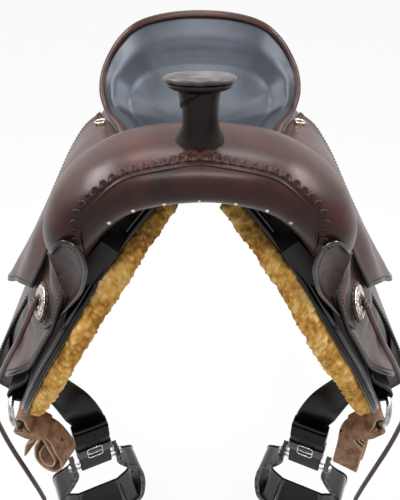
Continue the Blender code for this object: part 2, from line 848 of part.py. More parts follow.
def add_jockeys(brown, swell_cutter):
    for side in (1, -1):
        out = (side, 0, 0.6)
        grid = mirror_grid(seat_jockey_grid(), side)
        sheet(side_name("seat_jockey", side), grid, JOCKEY_THICKNESS, brown, out)
        grid = mirror_grid(front_jockey_grid(), side)
        cut(sheet(side_name("front_jockey", side), grid, JOCKEY_THICKNESS, brown, out), swell_cutter)
        grid = mirror_grid(rear_jockey_grid(), side)
        sheet(side_name("rear_jockey", side), grid, JOCKEY_THICKNESS, brown, out)


def dee_pivot():
    return on_side(DEE_Y, DEE_S, DEE_STAND_OFF)


def dee_path(top):
    """A D standing on its rounded side, seen along X, with its straight bar at the top."""
    half = DEE_WIDTH / 2
    centre = Vector((0, 0, half - DEE_DROP))
    corner = math.asin((DEE_DROP - half) / half)
    points = [Vector((0, 0, 0))]
    for t in spread(corner, -math.pi - corner, 15):
        points.append(centre + Vector((0, half * math.cos(t), half * math.sin(t))))
    return [top + p for p in points]


def add_rigging(dark, steel):
    panel_off = SKIRT_THICKNESS + 1.6 * LAYER_GAP
    for side in (1, -1):
        grid = []
        for y in side_stations(PANEL_FRONT_Y, PANEL_REAR_Y, (PANEL_FRONT_Y + 0.012, PANEL_REAR_Y - 0.012)):
            middle = (PANEL_FRONT_Y + PANEL_REAR_Y) / 2
            reach = abs(y - middle) / (PANEL_REAR_Y - middle)
            bottom = min(skirt_drop(y, 0.004), 0.330 + 0.102 * math.sqrt(max(0.0, 1 - reach**2.4)))
            grid.append([on_side(y, s, panel_off) for s in spread(PANEL_TOP, bottom, 8)])
        name, grid = side_name("rigging_panel", side), mirror_grid(grid, side)
        panel = sheet(name, grid, PANEL_THICKNESS, dark, (side, 0, 0.5))

        pivot = mirrored(dee_pivot(), side)
        _, down, out = side_frame(DEE_Y, DEE_S)
        down, out = mirrored(down, side), mirrored(out, side)
        rings = []
        for y in (-CHAPE_WIDTH / 2, CHAPE_WIDTH / 2):
            centre = pivot + Vector((0, y, 0))
            low, high = -0.0190, 0.0085
            rings.append(
                [
                    centre + out * low - down * 0.030,
                    centre + out * low + down * 0.010,
                    centre + out * (high - 0.006) + down * 0.0095,
                    centre + out * high + down * 0.003,
                    centre + out * high - down * 0.006,
                    centre + out * -0.006 - down * 0.030,
                ]
            )
        chape = hidden(loft(side_name("dee_chape", side), rings, dark))
        reach = Vector((0, CHAPE_WIDTH, 0))
        name = side_name("dee_bore", side)
        bore = hidden(rod(name, pivot - reach, pivot + reach, DEE_WIRE + 0.0006, dark, 16))
        apply_boolean(panel, chape, "UNION")
        cut(panel, bore)

        wire(side_name("front_dee", side), dee_path(pivot), DEE_WIRE, steel, pivot, cyclic=True)


# The stirrup leather's run seen from the front, below the bar: x and z
HANG_LINE = (
    (0.202, -0.099),
    (0.235, -0.149),
    (0.266, -0.200),
    (0.288, -0.248),
    (0.295, -0.293),
    (0.287, -0.340),
    (0.266, -0.387),
    (0.242, -0.424),
    (0.222, -0.458),
)


def hang_pivot():
    place, down, out = side_frame(HANG_Y, LEATHER_ON_BAR_S)
    stand_off = BAR_OUTER + SWING_GAP + LEATHER_THICKNESS / 2
    return place + stand_off * out, down, out


def bolt_direction():
    """Along the stirrup bolt, from its inner rear end to its outer front end."""
    return Vector((math.sin(TWIST), -math.cos(TWIST), 0.0))


def bolt_centre():
    return Vector((BOLT_X, HANG_Y, BOLT_Z))


def hang_line():
    """The leather's middle line from its top on the bar to the straight run above the stirrup."""
    pivot, down, _ = hang_pivot()
    top = [pivot - down * 0.042, pivot - down * 0.012, pivot + down * 0.018, pivot + down * 0.044]
    run = [Vector((x, HANG_Y, z)) for x, z in HANG_LINE]
    return top, run


def through_direction():
    """Square to the bolt, towards the front and the horse."""
    across = bolt_direction()
    return Vector((across.y, -across.x, 0.0))


def leather_line():
    top, run = hang_line()
    behind = bolt_centre() - through_direction() * LOOP_RADIUS
    straight = [Vector((behind.x, behind.y, z)) for z in (-0.505, -0.530, -0.560, -0.590, BOLT_Z)]
    return top, smooth_line([top[-1]] + run + straight, 2)[1:]


def add_leathers(brown, dark, black, steel):
    top, rest = leather_line()
    down_run = top + rest
    widths = []
    for place in down_run:
        turn = ease(0.0, TWIST, TWIST_TOP, TWIST_BOTTOM, place.z)
        widths.append(Vector((math.sin(turn), -math.cos(turn), 0.0)))
    across, through, bolt = bolt_direction(), through_direction(), bolt_centre()
    loop = []
    for i in range(1, 8):
        t = math.pi * i / 8
        loop.append(bolt - through * LOOP_RADIUS * math.cos(t) - Vector((0, 0, LOOP_RADIUS * math.sin(t))))
    front = bolt + through * LOOP_RADIUS
    up_run = [Vector((front.x, front.y, z)) for z in (BOLT_Z, -0.590, -0.550, -0.505)]
    path = down_run + loop + up_run
    widths += [across] * (len(loop) + len(up_run))

    pivot, _, _ = hang_pivot()
    for side in (1, -1):
        origin = mirrored(pivot, side)
        line = [mirrored(p, side) for p in path]
        cross = [mirrored(w, side) for w in widths]
        strap(side_name("stirrup_leather", side), line, cross, LEATHER_WIDTH, LEATHER_THICKNESS, dark, origin)
        add_fender(side, brown, origin)
        add_buckle(side, steel, black, origin)


# Half the fender's width at places down the leather
FENDER_HALF_WIDTHS = (
    (-0.070, 0.0330),
    (-0.110, 0.0500),
    (-0.160, 0.0760),
    (-0.220, 0.0950),
    (-0.280, 0.0900),
    (-0.330, 0.0700),
    (-0.375, 0.0420),
    (-0.400, 0.0330),
)


def fender_frame(line, i):
    """A point of the leather with the directions across it and out from the horse."""
    along = (line[i + 1] - line[i - 1]).normalized()
    turn = ease(0.0, TWIST, TWIST_TOP, TWIST_BOTTOM, line[i].z)
    across = Vector((math.sin(turn), -math.cos(turn), 0.0))
    return line[i], across, across.cross(along).normalized()


def add_fender(side, brown, origin):
    top, rest = leather_line()
    line = top + rest
    stand_off = LEATHER_THICKNESS / 2 + LAYER_GAP
    grid = []
    for i in range(1, len(line) - 1):
        if not FENDER_BOTTOM < line[i].z < FENDER_TOP:
            continue
        place, across, out = fender_frame(line, i)
        half = value_through([(-z, w) for z, w in FENDER_HALF_WIDTHS], -place.z)
        grid.append([place + out * stand_off + across * half * t for t in spread(-1, 1, 7)])
    sheet(side_name("fender", side), mirror_grid(grid, side), FENDER_THICKNESS, brown, (side, 0, 0.3), origin)


def band(name, centre, across, through, half_across, half_through, wall, height, skin, origin):
    """A flat band round a pair of straps, standing upright."""
    rings = []
    for z in (-height / 2, height / 2):
        for grow in (0.0, wall):
            a, b = half_across + grow, half_through + grow
            corner = 0.0010 + grow
            ring = []
            for sx, sy, start in ((1, 1, 0), (-1, 1, 90), (-1, -1, 180), (1, -1, 270)):
                for step in range(4):
                    t = math.radians(start + 30 * step)
                    u = sx * (a - corner) + corner * math.cos(t)
                    v = sy * (b - corner) + corner * math.sin(t)
                    ring.append(centre + across * u + through * v + Vector((0, 0, z)))
            rings.append(ring)
    inner_low, outer_low, inner_high, outer_high = rings
    return loft(name, [inner_low, outer_low, outer_high, inner_high], skin, origin, cyclic=True)


def add_buckle(side, steel, black, origin):
    across = mirrored(bolt_direction(), side)
    through = mirrored(through_direction(), side)
    bolt = mirrored(bolt_centre(), side)
    half_stack = LOOP_RADIUS + LEATHER_THICKNESS / 2

    # The buckle plate lies between the two runs, with two posts through the front run's slots
    centre = Vector((bolt.x, bolt.y, SLEEVE_Z))
    plate_half = 0.023
    front = LOOP_RADIUS - LEATHER_THICKNESS / 2 - GAP
    rings = []
    for level in (front - 0.0022, front):
        ring = []
        for u, z in ((-1, -1), (1, -1), (1, 1), (-1, 1)):
            ring.append(centre + across * u * plate_half + Vector((0, 0, z * 0.013)) + through * level)
        rings.append(ring)
    loft(side_name("buckle_plate", side), rings, steel, origin)

    sleeve_origin = centre
    band(
        side_name("buckle_sleeve", side),
        centre,
        across,
        through,
        LEATHER_WIDTH / 2 + 0.0012,
        half_stack + LAYER_GAP,
        SLEEVE_WALL,
        SLEEVE_HEIGHT,
        steel,
        sleeve_origin,
    )
    hobble_centre = Vector((bolt.x, bolt.y, HOBBLE_Z))
    band(
        side_name("hobble_strap", side),
        hobble_centre,
        across,
        through,
        LEATHER_WIDTH / 2 + 0.0012,
        half_stack + LAYER_GAP,
        HOBBLE_WALL,
        HOBBLE_HEIGHT,
        black,
        origin,
    )
    face = hobble_centre + through * (half_stack + LAYER_GAP + HOBBLE_WALL + 0.0014 + GAP)
    frame = []
    for u, z in ((-1, -1), (0, -1), (1, -1), (1, 0), (1, 1), (0, 1), (-1, 1), (-1, 0)):
        shrink = 0.92 if u and z else 1.0
        frame.append(face + across * u * 0.014 * shrink + Vector((0, 0, z * 0.0125 * shrink)))
    wire(side_name("hobble_buckle", side), frame, 0.0014, steel, origin, cyclic=True)


# Half of the stirrup's outline, from the bolt's ear down to the middle of the tread
STIRRUP_LINE = (
    (0.0000, 0.012),
    (0.0000, -0.009),
    (0.0150, -0.027),
    (0.0330, -0.042),
    (0.0370, -0.066),
    (0.0355, -0.098),
    (0.0280, -0.128),
)


TREAD_OUTLINE = (
    (-1, -0.8),
    (-0.86, -1),
    (0.86, -1),
    (1, -0.8),
    (1, 0.8),
    (0.86, 1),
    (-0.86, 1),
    (-1, 0.8),
)


def stirrup_line():
    """The stirrup's middle line as (across, height) pairs, from one ear round to the other."""
    half = [(STIRRUP_NECK_HALF + STIRRUP_WALL / 2 + u, z) for u, z in STIRRUP_LINE]
    half = [(p.x, p.z) for p in smooth_line([(u, 0, z) for u, z in half], 2)]
    floor = -STIRRUP_HEIGHT
    half += [(TREAD_LENGTH / 2 + 0.004, floor + 0.004), (TREAD_LENGTH / 2 - 0.004, floor), (0.0, floor)]
    return half + [(-u, z) for u, z in half[-2::-1]]


def stirrup_depth(height):
    return ease(0.034, STIRRUP_DEPTH, 0.000, -0.075, height)


def add_stirrups(black, steel, rubber):
    for side in (1, -1):
        across = mirrored(bolt_direction(), side)
        through = mirrored(through_direction(), side)
        bolt = mirrored(bolt_centre(), side)
        line = stirrup_line()
        rings = []
        for i, (u, z) in enumerate(line):
            before, after = line[max(i - 1, 0)], line[min(i + 1, len(line) - 1)]
            along = Vector((after[0] - before[0], after[1] - before[1])).normalized()
            wall = Vector((along.y, -along.x)) * STIRRUP_WALL / 2
            half = stirrup_depth(z) / 2
            ring = []
            for sign, depth in ((1, 0.82), (1, -0.82), (0, -1), (-1, -0.82), (-1, 0.82), (0, 1)):
                at = Vector((u, z)) + wall * sign
                ring.append(bolt + across * at.x + Vector((0, 0, at.y)) + through * half * depth)
            rings.append(ring)
        frame = loft(side_name("stirrup", side), rings, black, bolt)
        reach = STIRRUP_NECK_HALF + STIRRUP_WALL
        hole = hidden(
            rod(
                side_name("bolt_bore", side),
                bolt - across * (reach + 0.02),
                bolt + across * (reach + 0.02),
                BOLT_RADIUS + GAP,
                black,
            )
        )
        cut(frame, hole)

        head = reach + 2 * GAP
        profile = (
            (-head - 0.004, 0.0070),
            (-head, 0.0075),
            (-head, BOLT_RADIUS),
            (head, BOLT_RADIUS),
            (head, 0.0075),
            (head + 0.004, 0.0070),
        )
        turned(side_name("stirrup_bolt", side), bolt, across, profile, steel, 16, bolt)

        half = STIRRUP_NECK_HALF - 0.0012
        rings = []
        up = Vector((0, 0, 1))
        bore = BOLT_RADIUS + GAP
        for h, r in ((-half, ROLLER_RADIUS), (half, ROLLER_RADIUS), (half, bore), (-half, bore)):
            rings.append(round_ring(bolt + across * h, through, up, r, 16))
        loft(side_name("bolt_roller", side), rings, steel, bolt, cyclic=True)

        floor = -STIRRUP_HEIGHT + STIRRUP_WALL / 2 + GAP
        rings = []
        for z in (floor, floor + TREAD_THICKNESS):
            ring = []
            for u, v in TREAD_OUTLINE:
                place = bolt + across * u * (TREAD_LENGTH / 2 - 0.008) + through * v * STIRRUP_DEPTH * 0.41
                ring.append(place + Vector((0, 0, z)))
            rings.append(ring)
        loft(side_name("stirrup_tread", side), rings, rubber, bolt)


# The near side's latigo and the off side's billet, folded up below the front dees. Each line
# is seen along the strap's width, from the dee's foot: out from the fold's face, and up.
LATIGO_LINE = (
    (0.0122, -0.0620),
    (0.0112, -0.0480),
    (0.0100, -0.0350),
    (0.0085, -0.0160),
    (0.0078, 0.0000),
    (0.0055, 0.0055),
    (0.0000, 0.0078),
    (-0.0055, 0.0055),
    (-0.0078, 0.0000),
    (-0.0078, -0.0160),
    (-0.0085, -0.0330),
    (-0.0104, -0.0500),
    (-0.0125, -0.0680),
    (-0.0160, -0.1000),
    (-0.0148, -0.1140),
    (-0.0095, -0.1150),
    (-0.0062, -0.1000),
    (-0.0040, -0.0660),
    (-0.0033, -0.0490),
    (-0.0028, -0.0330),
    (-0.0028, -0.0200),
    (0.0000, -0.0125),
    (0.0028, -0.0200),
    (0.0028, -0.0330),
    (0.0036, -0.0490),
    (0.0046, -0.0660),
    (0.0066, -0.0960),
    (0.0105, -0.1130),
    (0.0175, -0.1180),
    (0.0235, -0.1080),
    (0.0235, -0.0900),
    (0.0205, -0.0720),
)
BILLET_LINE = (
    (0.0360, -0.0980),
    (0.0270, -0.0680),
    (0.0122, -0.0400),
    (0.0088, -0.0200),
    (0.0078, 0.0000),
    (0.0055, 0.0055),
    (0.0000, 0.0078),
    (-0.0055, 0.0055),
    (-0.0078, 0.0000),
    (-0.0080, -0.0160),
    (-0.0088, -0.0310),
    (-0.0200, -0.0480),
    (-0.0350, -0.0690),
    (-0.0330, -0.0940),
    (-0.0170, -0.1120),
    (0.0020, -0.1110),
    (0.0130, -0.0940),
    (0.0110, -0.0700),
    (0.0050, -0.0480),
    (0.0028, -0.0330),
    (0.0028, -0.0200),
    (0.0000, -0.0125),
    (-0.0028, -0.0200),
    (-0.0030, -0.0340),
    (-0.0100, -0.0480),
    (-0.0210, -0.0640),
    (-0.0235, -0.0820),
    (-0.0150, -0.0990),
    (-0.0020, -0.1000),
    (0.0040, -0.0880),
    (0.0020, -0.0700),
)
STRAP_WIDTH = 0.040
STRAP_THICKNESS = 0.0034
STRAP_SHIFT = -0.026
KEEPER_WALL = 0.0022
KEEPER_TOP = -0.0140
KEEPER_FOOT = -0.0305


def hank_place(side, turn, out, across, up):
    """A place in a hank of strap, which turns and shifts inwards below the dee's curved foot."""
    pivot = dee_pivot()
    turned_by = turn * ease(1.0, 0.0, -0.064, -0.029, up)
    shift = STRAP_SHIFT * ease(1.0, 0.0, -0.040, -0.006, up)
    curve = DEE_WIDTH / 2
    rise = (curve - math.sqrt(curve**2 - min(abs(across), 0.03) ** 2)) * ease(0.0, 1.0, -0.014, -0.003, up)
    x = pivot.x + shift + out * math.cos(turned_by) + across * math.sin(turned_by)
    y = pivot.y + out * math.sin(turned_by) - across * math.cos(turned_by)
    return mirrored((x, y, pivot.z - DEE_DROP + up + rise), side)


def folded_strap(name, side, turn, line, skin):
    points = [Vector((p.x, p.z)) for p in smooth_line([(u, 0, z) for u, z in line], 2)]
    half = STRAP_THICKNESS / 2
    acrosses = [STRAP_WIDTH * t for t in (-0.5, 0.0, 0.5)]
    rings = []
    for i, point in enumerate(points):
        along = (points[min(i + 1, len(points) - 1)] - points[max(i - 1, 0)]).normalized()
        normal = Vector((-along.y, along.x)) * half
        one, other = point + normal, point - normal
        ring = [hank_place(side, turn, one.x, a, one.y) for a in acrosses]
        rings.append(ring + [hank_place(side, turn, other.x, a, other.y) for a in acrosses[::-1]])
    foot = mirrored(dee_pivot() - Vector((0, 0, DEE_DROP)), side)
    loft(name, rings, skin, foot)


def strap_keeper(name, side, turn, inner, outer, skin):
    """A band round a hank, between its inner and outer faces."""
    edge = STRAP_WIDTH / 2 + GAP * 2
    rings = []
    for grow, ups in ((0.0, (KEEPER_FOOT, KEEPER_TOP)), (KEEPER_WALL, (KEEPER_TOP, KEEPER_FOOT))):
        corners = (
            (outer + grow, edge + grow - 0.002),
            (outer + grow - 0.002, edge + grow),
            (inner - grow + 0.002, edge + grow),
            (inner - grow, edge + grow - 0.002),
            (inner - grow, -edge - grow + 0.002),
            (inner - grow + 0.002, -edge - grow),
            (outer + grow - 0.002, -edge - grow),
            (outer + grow, -edge - grow + 0.002),
        )
        for up in spread(ups[0], ups[1], 5):
            rings.append([hank_place(side, turn, out, across, up) for out, across in corners])
    foot = mirrored(dee_pivot() - Vector((0, 0, DEE_DROP)), side)
    loft(name, rings, skin, foot, cyclic=True)


def add_straps(tan):
    folded_strap("latigo", 1, math.radians(58), LATIGO_LINE, tan)
    strap_keeper("latigo_keeper", 1, math.radians(58), -0.0118, 0.0134, tan)
    folded_strap("off_billet", -1, math.radians(22), BILLET_LINE, tan)
    strap_keeper("billet_keeper", -1, math.radians(22), -0.0124, 0.0146, tan)


# The near saddle string, from the concho down: its route past the edge of the front jockey
STRING_ROUTE = (
    (0.2040, -0.0080, -0.1050),
    (0.2340, -0.0080, -0.1500),
    (0.2575, -0.0050, -0.1900),
    (0.2720, 0.0000, -0.2250),
    (0.2770, 0.0000, -0.2600),
    (0.2740, 0.0000, -0.3000),
    (0.2680, 0.0000, -0.3400),
    (0.2580, 0.0000, -0.3900),
    (0.2500, 0.0000, -0.4300),
    (0.2430, 0.0000, -0.4700),
)


def add_strings(latigo_brown):
    here, out = concho_frame(1)
    start = here + out * (JOCKEY_THICKNESS + ROSETTE_THICKNESS + CONCHO_THICKNESS + STRING_RADIUS + 0.0018)
    path = smooth_line([start, *STRING_ROUTE], 2)
    for side in (1, -1):
        wire(side_name("saddle_string", side), [mirrored(p, side) for p in path], STRING_RADIUS, latigo_brown)


def tie_dee_frame(side):
    """The tie dee's place on the seat jockey beside the binding: centre, across, along and out."""
    columns = seat_jockey_surface()
    grid = [[column[j] for column in columns] for j in range(len(columns[0]))]
    row = 8
    here = grid[row][0].lerp(grid[row][1], 0.45)
    across = (grid[row][1] - grid[row][0]).normalized()
    along = (grid[row + 1][0] - grid[row - 1][0]).normalized()
    out = across.cross(along).normalized()
    if out.z < 0:
        out = -out
    along = out.cross(across).normalized()
    return [mirrored(v, side) for v in (here, across, along, out)]


def add_tie_dees(brass):
    for side in (1, -1):
        here, across, along, out = tie_dee_frame(side)
        centre = here + out * (JOCKEY_THICKNESS + TIE_DEE_WIRE + 0.0010)
        path = []
        for u, v in ((0, -1), (0, 1), (0.45, 1), (0.85, 0.75), (1.0, 0), (0.85, -0.75), (0.45, -1)):
            path.append(centre + across * u * TIE_DEE_REACH + along * v * TIE_DEE_HALF_WIDTH)
        wire(side_name("tie_dee", side), path, TIE_DEE_WIRE, brass, centre, cyclic=True)


CONCHO_Y = 0.008
CONCHO_S = 0.190


def concho_frame(side):
    """Where the rosette lies on the front jockey: a flat seat that just clears its curve."""
    steps = spread(-ROSETTE_RADIUS, ROSETTE_RADIUS, 7)
    outer = [[front_jockey_point(CONCHO_Y + dy, CONCHO_S + ds) for dy in steps] for ds in steps]
    down = outer[-1][3] - outer[0][3]
    back = outer[3][-1] - outer[3][0]
    out = back.cross(down).normalized()
    if out.x < 0:
        out = -out
    here = front_jockey_point(CONCHO_Y, CONCHO_S)
    lift = max((p - here).dot(out) for row in outer for p in row)
    return mirrored(here + out * lift, side), mirrored(out, side)


def add_conchos(brown, silver):
    for side in (1, -1):
        here, out = concho_frame(side)
        seat = here + out * (JOCKEY_THICKNESS + 0.0009)
        profile = ((0.0, ROSETTE_RADIUS), (ROSETTE_THICKNESS, ROSETTE_RADIUS - 0.0006))
        turned(side_name("rosette", side), seat, out, profile, brown, 24)
        seat = seat + out * (ROSETTE_THICKNESS + GAP)
        profile = (
            (0.0, CONCHO_RADIUS),
            (0.0012, CONCHO_RADIUS),
            (0.0026, CONCHO_RADIUS * 0.72),
            (CONCHO_THICKNESS, CONCHO_RADIUS * 0.30),
        )
        turned(side_name("concho", side), seat, out, profile, silver, 24)


def main():
    clear_scene()
    brown = finish("Brown saddle leather", (0.075, 0.028, 0.020), 0.38)
    dark = finish("Dark edge leather", (0.020, 0.014, 0.013), 0.42)
    black = finish("Black smooth leather", (0.012, 0.013, 0.016), 0.30)
    wool = finish("Golden sheepskin", (0.55, 0.32, 0.10), 0.95)
    wood = finish("Rawhide covered wood", (0.52, 0.40, 0.25), 0.6)
    steel = finish("Stainless steel", (0.62, 0.62, 0.60), 0.25, 1.0)
    silver = finish("Engraved nickel silver", (0.75, 0.74, 0.70), 0.22, 1.0)
    tan = finish("Tan roughout leather", (0.40, 0.24, 0.14), 0.75)
    brass = finish("Brass", (0.80, 0.66, 0.38), 0.3, 1.0)
    rubber = finish("Black rubber tread", (0.02, 0.02, 0.02), 0.8)

    envelopes = [bar_envelope(side, GAP) for side in (1, -1)]
    round_fork = [2 * math.pi * i / 36 for i in range(36)]
    swell_cutter = hidden(fork_loft("swell_envelope", -GAP - 0.0003, brown, round_fork))
    horn_hole = hidden(
        rod("horn_hole", HORN_FOOT - horn_axis() * GAP, HORN_HEAD, HORN_CORE_RADIUS + GAP, steel, 20)
    )

    add_skirts(wool, dark)
    add_bars(wood)
    add_fork(wood, brown, dark, envelopes, horn_hole)
    add_horn(steel, brown, dark, swell_cutter)
    add_seat(black, dark, envelopes, swell_cutter)
    add_cantle(wood, brown, dark, envelopes)
    add_jockeys(brown, swell_cutter)
    add_rigging(dark, steel)
    add_leathers(brown, dark, black, steel)
    add_stirrups(black, steel, rubber)
    add_straps(tan)
    add_conchos(brown, silver)
    add_strings(brown)
    add_tie_dees(brass)


main()
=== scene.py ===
# Western trail saddle: leather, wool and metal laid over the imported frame
import math

import bmesh
import bpy
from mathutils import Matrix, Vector, noise
from mathutils.kdtree import KDTree


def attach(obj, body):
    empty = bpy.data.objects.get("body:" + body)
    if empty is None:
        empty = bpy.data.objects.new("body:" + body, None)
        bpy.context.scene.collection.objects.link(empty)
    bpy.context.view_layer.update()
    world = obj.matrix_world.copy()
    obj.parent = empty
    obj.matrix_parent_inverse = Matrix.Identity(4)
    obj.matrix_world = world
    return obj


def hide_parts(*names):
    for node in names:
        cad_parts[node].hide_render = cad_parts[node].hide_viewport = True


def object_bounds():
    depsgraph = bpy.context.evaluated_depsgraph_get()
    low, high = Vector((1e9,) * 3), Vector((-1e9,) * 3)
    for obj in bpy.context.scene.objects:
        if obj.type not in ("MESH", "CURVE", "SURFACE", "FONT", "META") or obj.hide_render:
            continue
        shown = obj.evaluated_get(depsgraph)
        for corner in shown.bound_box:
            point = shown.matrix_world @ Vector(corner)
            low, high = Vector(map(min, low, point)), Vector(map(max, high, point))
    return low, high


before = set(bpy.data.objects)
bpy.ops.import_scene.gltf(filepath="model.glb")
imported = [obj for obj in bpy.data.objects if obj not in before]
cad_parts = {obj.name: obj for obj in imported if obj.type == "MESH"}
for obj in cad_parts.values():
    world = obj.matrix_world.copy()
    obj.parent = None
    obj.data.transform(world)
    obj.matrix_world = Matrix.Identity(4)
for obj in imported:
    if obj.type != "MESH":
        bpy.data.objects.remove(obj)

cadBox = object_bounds()
scene = bpy.context.scene
sides = {"near": 1, "off": -1}  # the near side is +X, where the rider mounts
white = (1, 1, 1, 1)
print("frame loaded")


# Camera, floor and soft light
stage = {
    "cameraPlace": (0.0, -0.492, 0.371), "cameraPitch": 54, "lens": 41.0, "nearest": 0.01,
    "floorDrop": 0.012, "floorHalf": 8.0, "floorColour": "F4F4F2", "floorRough": 0.9,
    "fill": 0.17, "whiteShare": 0.94,
}
lamps = {  # place, size, power and aim
    "overhead": ((0.0, 0.15, 1.60), (0.62, 0.42), 15.0, (0, 0.15, 0.1)),
    "aboveFront": ((0.0, -0.95, 1.45), (0.80, 0.30), 15.0, (0, 0.30, 0.1)),
    "behind": ((0.0, 0.85, 1.35), (1.50, 0.22), 15.0, (0, 0.05, 0.1)),
    "leftStrip": ((-1.10, 0.30, 0.98), (1.15, 0.30), 23.0, (0, 0.20, 0.1)),
    "rightStrip": ((1.10, 0.30, 0.98), (1.15, 0.30), 18.0, (0, 0.20, 0.1)),
}


def linear(hexColour):
    # sRGB hex to linear, with full alpha
    parts = [int(hexColour[i : i + 2], 16) / 255 for i in (0, 2, 4)]
    return (*[p / 12.92 if p <= 0.04045 else ((p + 0.055) / 1.055) ** 2.4 for p in parts], 1.0)


def setNode(node, given):
    # Each key is a setting of the node or one of its inputs; a node or socket given to an input is linked
    for key, value in given.items():
        if isinstance(value, bpy.types.Node):
            value = value.outputs[0]
        if isinstance(value, bpy.types.NodeSocket):
            node.id_data.links.new(value, node.inputs[key])
        elif isinstance(key, str) and hasattr(node, key):
            setattr(node, key, value)
        else:
            node.inputs[key].default_value = value
    return node


def addNode(tree, kind, given=None):
    return setNode(tree.nodes.new(kind), given or {})


def linkObject(name, data):
    made = bpy.data.objects.new(name, data)
    scene.collection.objects.link(made)
    return made


def rawMesh(name, points, edges, faces):
    mesh = bpy.data.meshes.new(name)
    mesh.from_pydata(points, edges, faces)
    return mesh


def blankMaterial(name):
    made = bpy.data.materials.new(name)
    made.use_nodes = True
    return made, made.node_tree, made.node_tree.nodes["Principled BSDF"]


def backdropRays(tree):
    # 1 for the rays that should meet the clean backdrop: the camera's, reflected and refracted ones
    path = addNode(tree, "ShaderNodeLightPath").outputs
    seen = {"operation": "MAXIMUM", 0: path["Is Camera Ray"], 1: path["Is Glossy Ray"]}
    seen = {"operation": "MAXIMUM", 0: addNode(tree, "ShaderNodeMath", seen), 1: path["Is Transmission Ray"]}
    return addNode(tree, "ShaderNodeMath", seen)


def buildStage():
    lens = bpy.data.cameras.new("Camera")
    lens.lens = stage["lens"]
    lens.clip_start = stage["nearest"]
    camera = linkObject("Camera", lens)
    camera.location = stage["cameraPlace"]
    camera.rotation_euler = (math.radians(stage["cameraPitch"]), 0, 0)
    scene.camera = camera

    low, half = cadBox[0][2] - stage["floorDrop"], stage["floorHalf"]
    corners = [(-half, -half, low), (half, -half, low), (half, half, low), (-half, half, low)]
    floor = linkObject("studioFloor", rawMesh("studioFloor", corners, [], [(0, 1, 2, 3)]))
    paper, tree, shader = blankMaterial("Pale paper backdrop")
    setNode(shader, {"Base Color": linear(stage["floorColour"]), "Roughness": stage["floorRough"]})
    # The camera, glass and metal see nearly white paper; everything else sees it as it is lit
    glow = addNode(tree, "ShaderNodeEmission", {"Color": white, "Strength": 1.0})
    seen = {"operation": "MULTIPLY", 0: backdropRays(tree), 1: stage["whiteShare"]}
    mix = {0: addNode(tree, "ShaderNodeMath", seen), 1: shader, 2: glow}
    setNode(tree.nodes["Material Output"], {"Surface": addNode(tree, "ShaderNodeMixShader", mix)})
    floor.data.materials.append(paper)

    for name, (place, size, power, aim) in lamps.items():
        data = bpy.data.lights.new(name, "AREA")
        data.shape = "RECTANGLE"
        data.size, data.size_y = size
        data.energy = power
        lamp = linkObject(name, data)
        lamp.location = place
        lamp.rotation_euler = (Vector(aim) - lamp.location).to_track_quat("-Z", "Y").to_euler()

    scene.world = bpy.data.worlds.new("Studio")
    scene.world.use_nodes = True
    tree = scene.world.node_tree
    fill = setNode(tree.nodes["Background"], {"Color": white, "Strength": stage["fill"]})
    clean = addNode(tree, "ShaderNodeBackground", {"Color": white, "Strength": 1.0})
    mix = {0: backdropRays(tree), 1: fill, 2: clean}
    setNode(tree.nodes["World Output"], {"Surface": addNode(tree, "ShaderNodeMixShader", mix)})
    scene.view_settings.view_transform = "Standard"


buildStage()
print("stage built")


# Finishes. Each pattern's scale comes from a size in millimetres.
edgeReach = 0.020  # a piece's "edge" is 1 at its rim and 0 from this far inside


def perMetre(millimetres):
    return 1000.0 / millimetres


def setRamp(tone, *stops):
    ramp = tone.color_ramp
    while len(ramp.elements) < len(stops):
        ramp.elements.new(1.0)
    for element, (at, colour) in zip(ramp.elements, stops):
        element.position = at
        element.color = linear(colour)


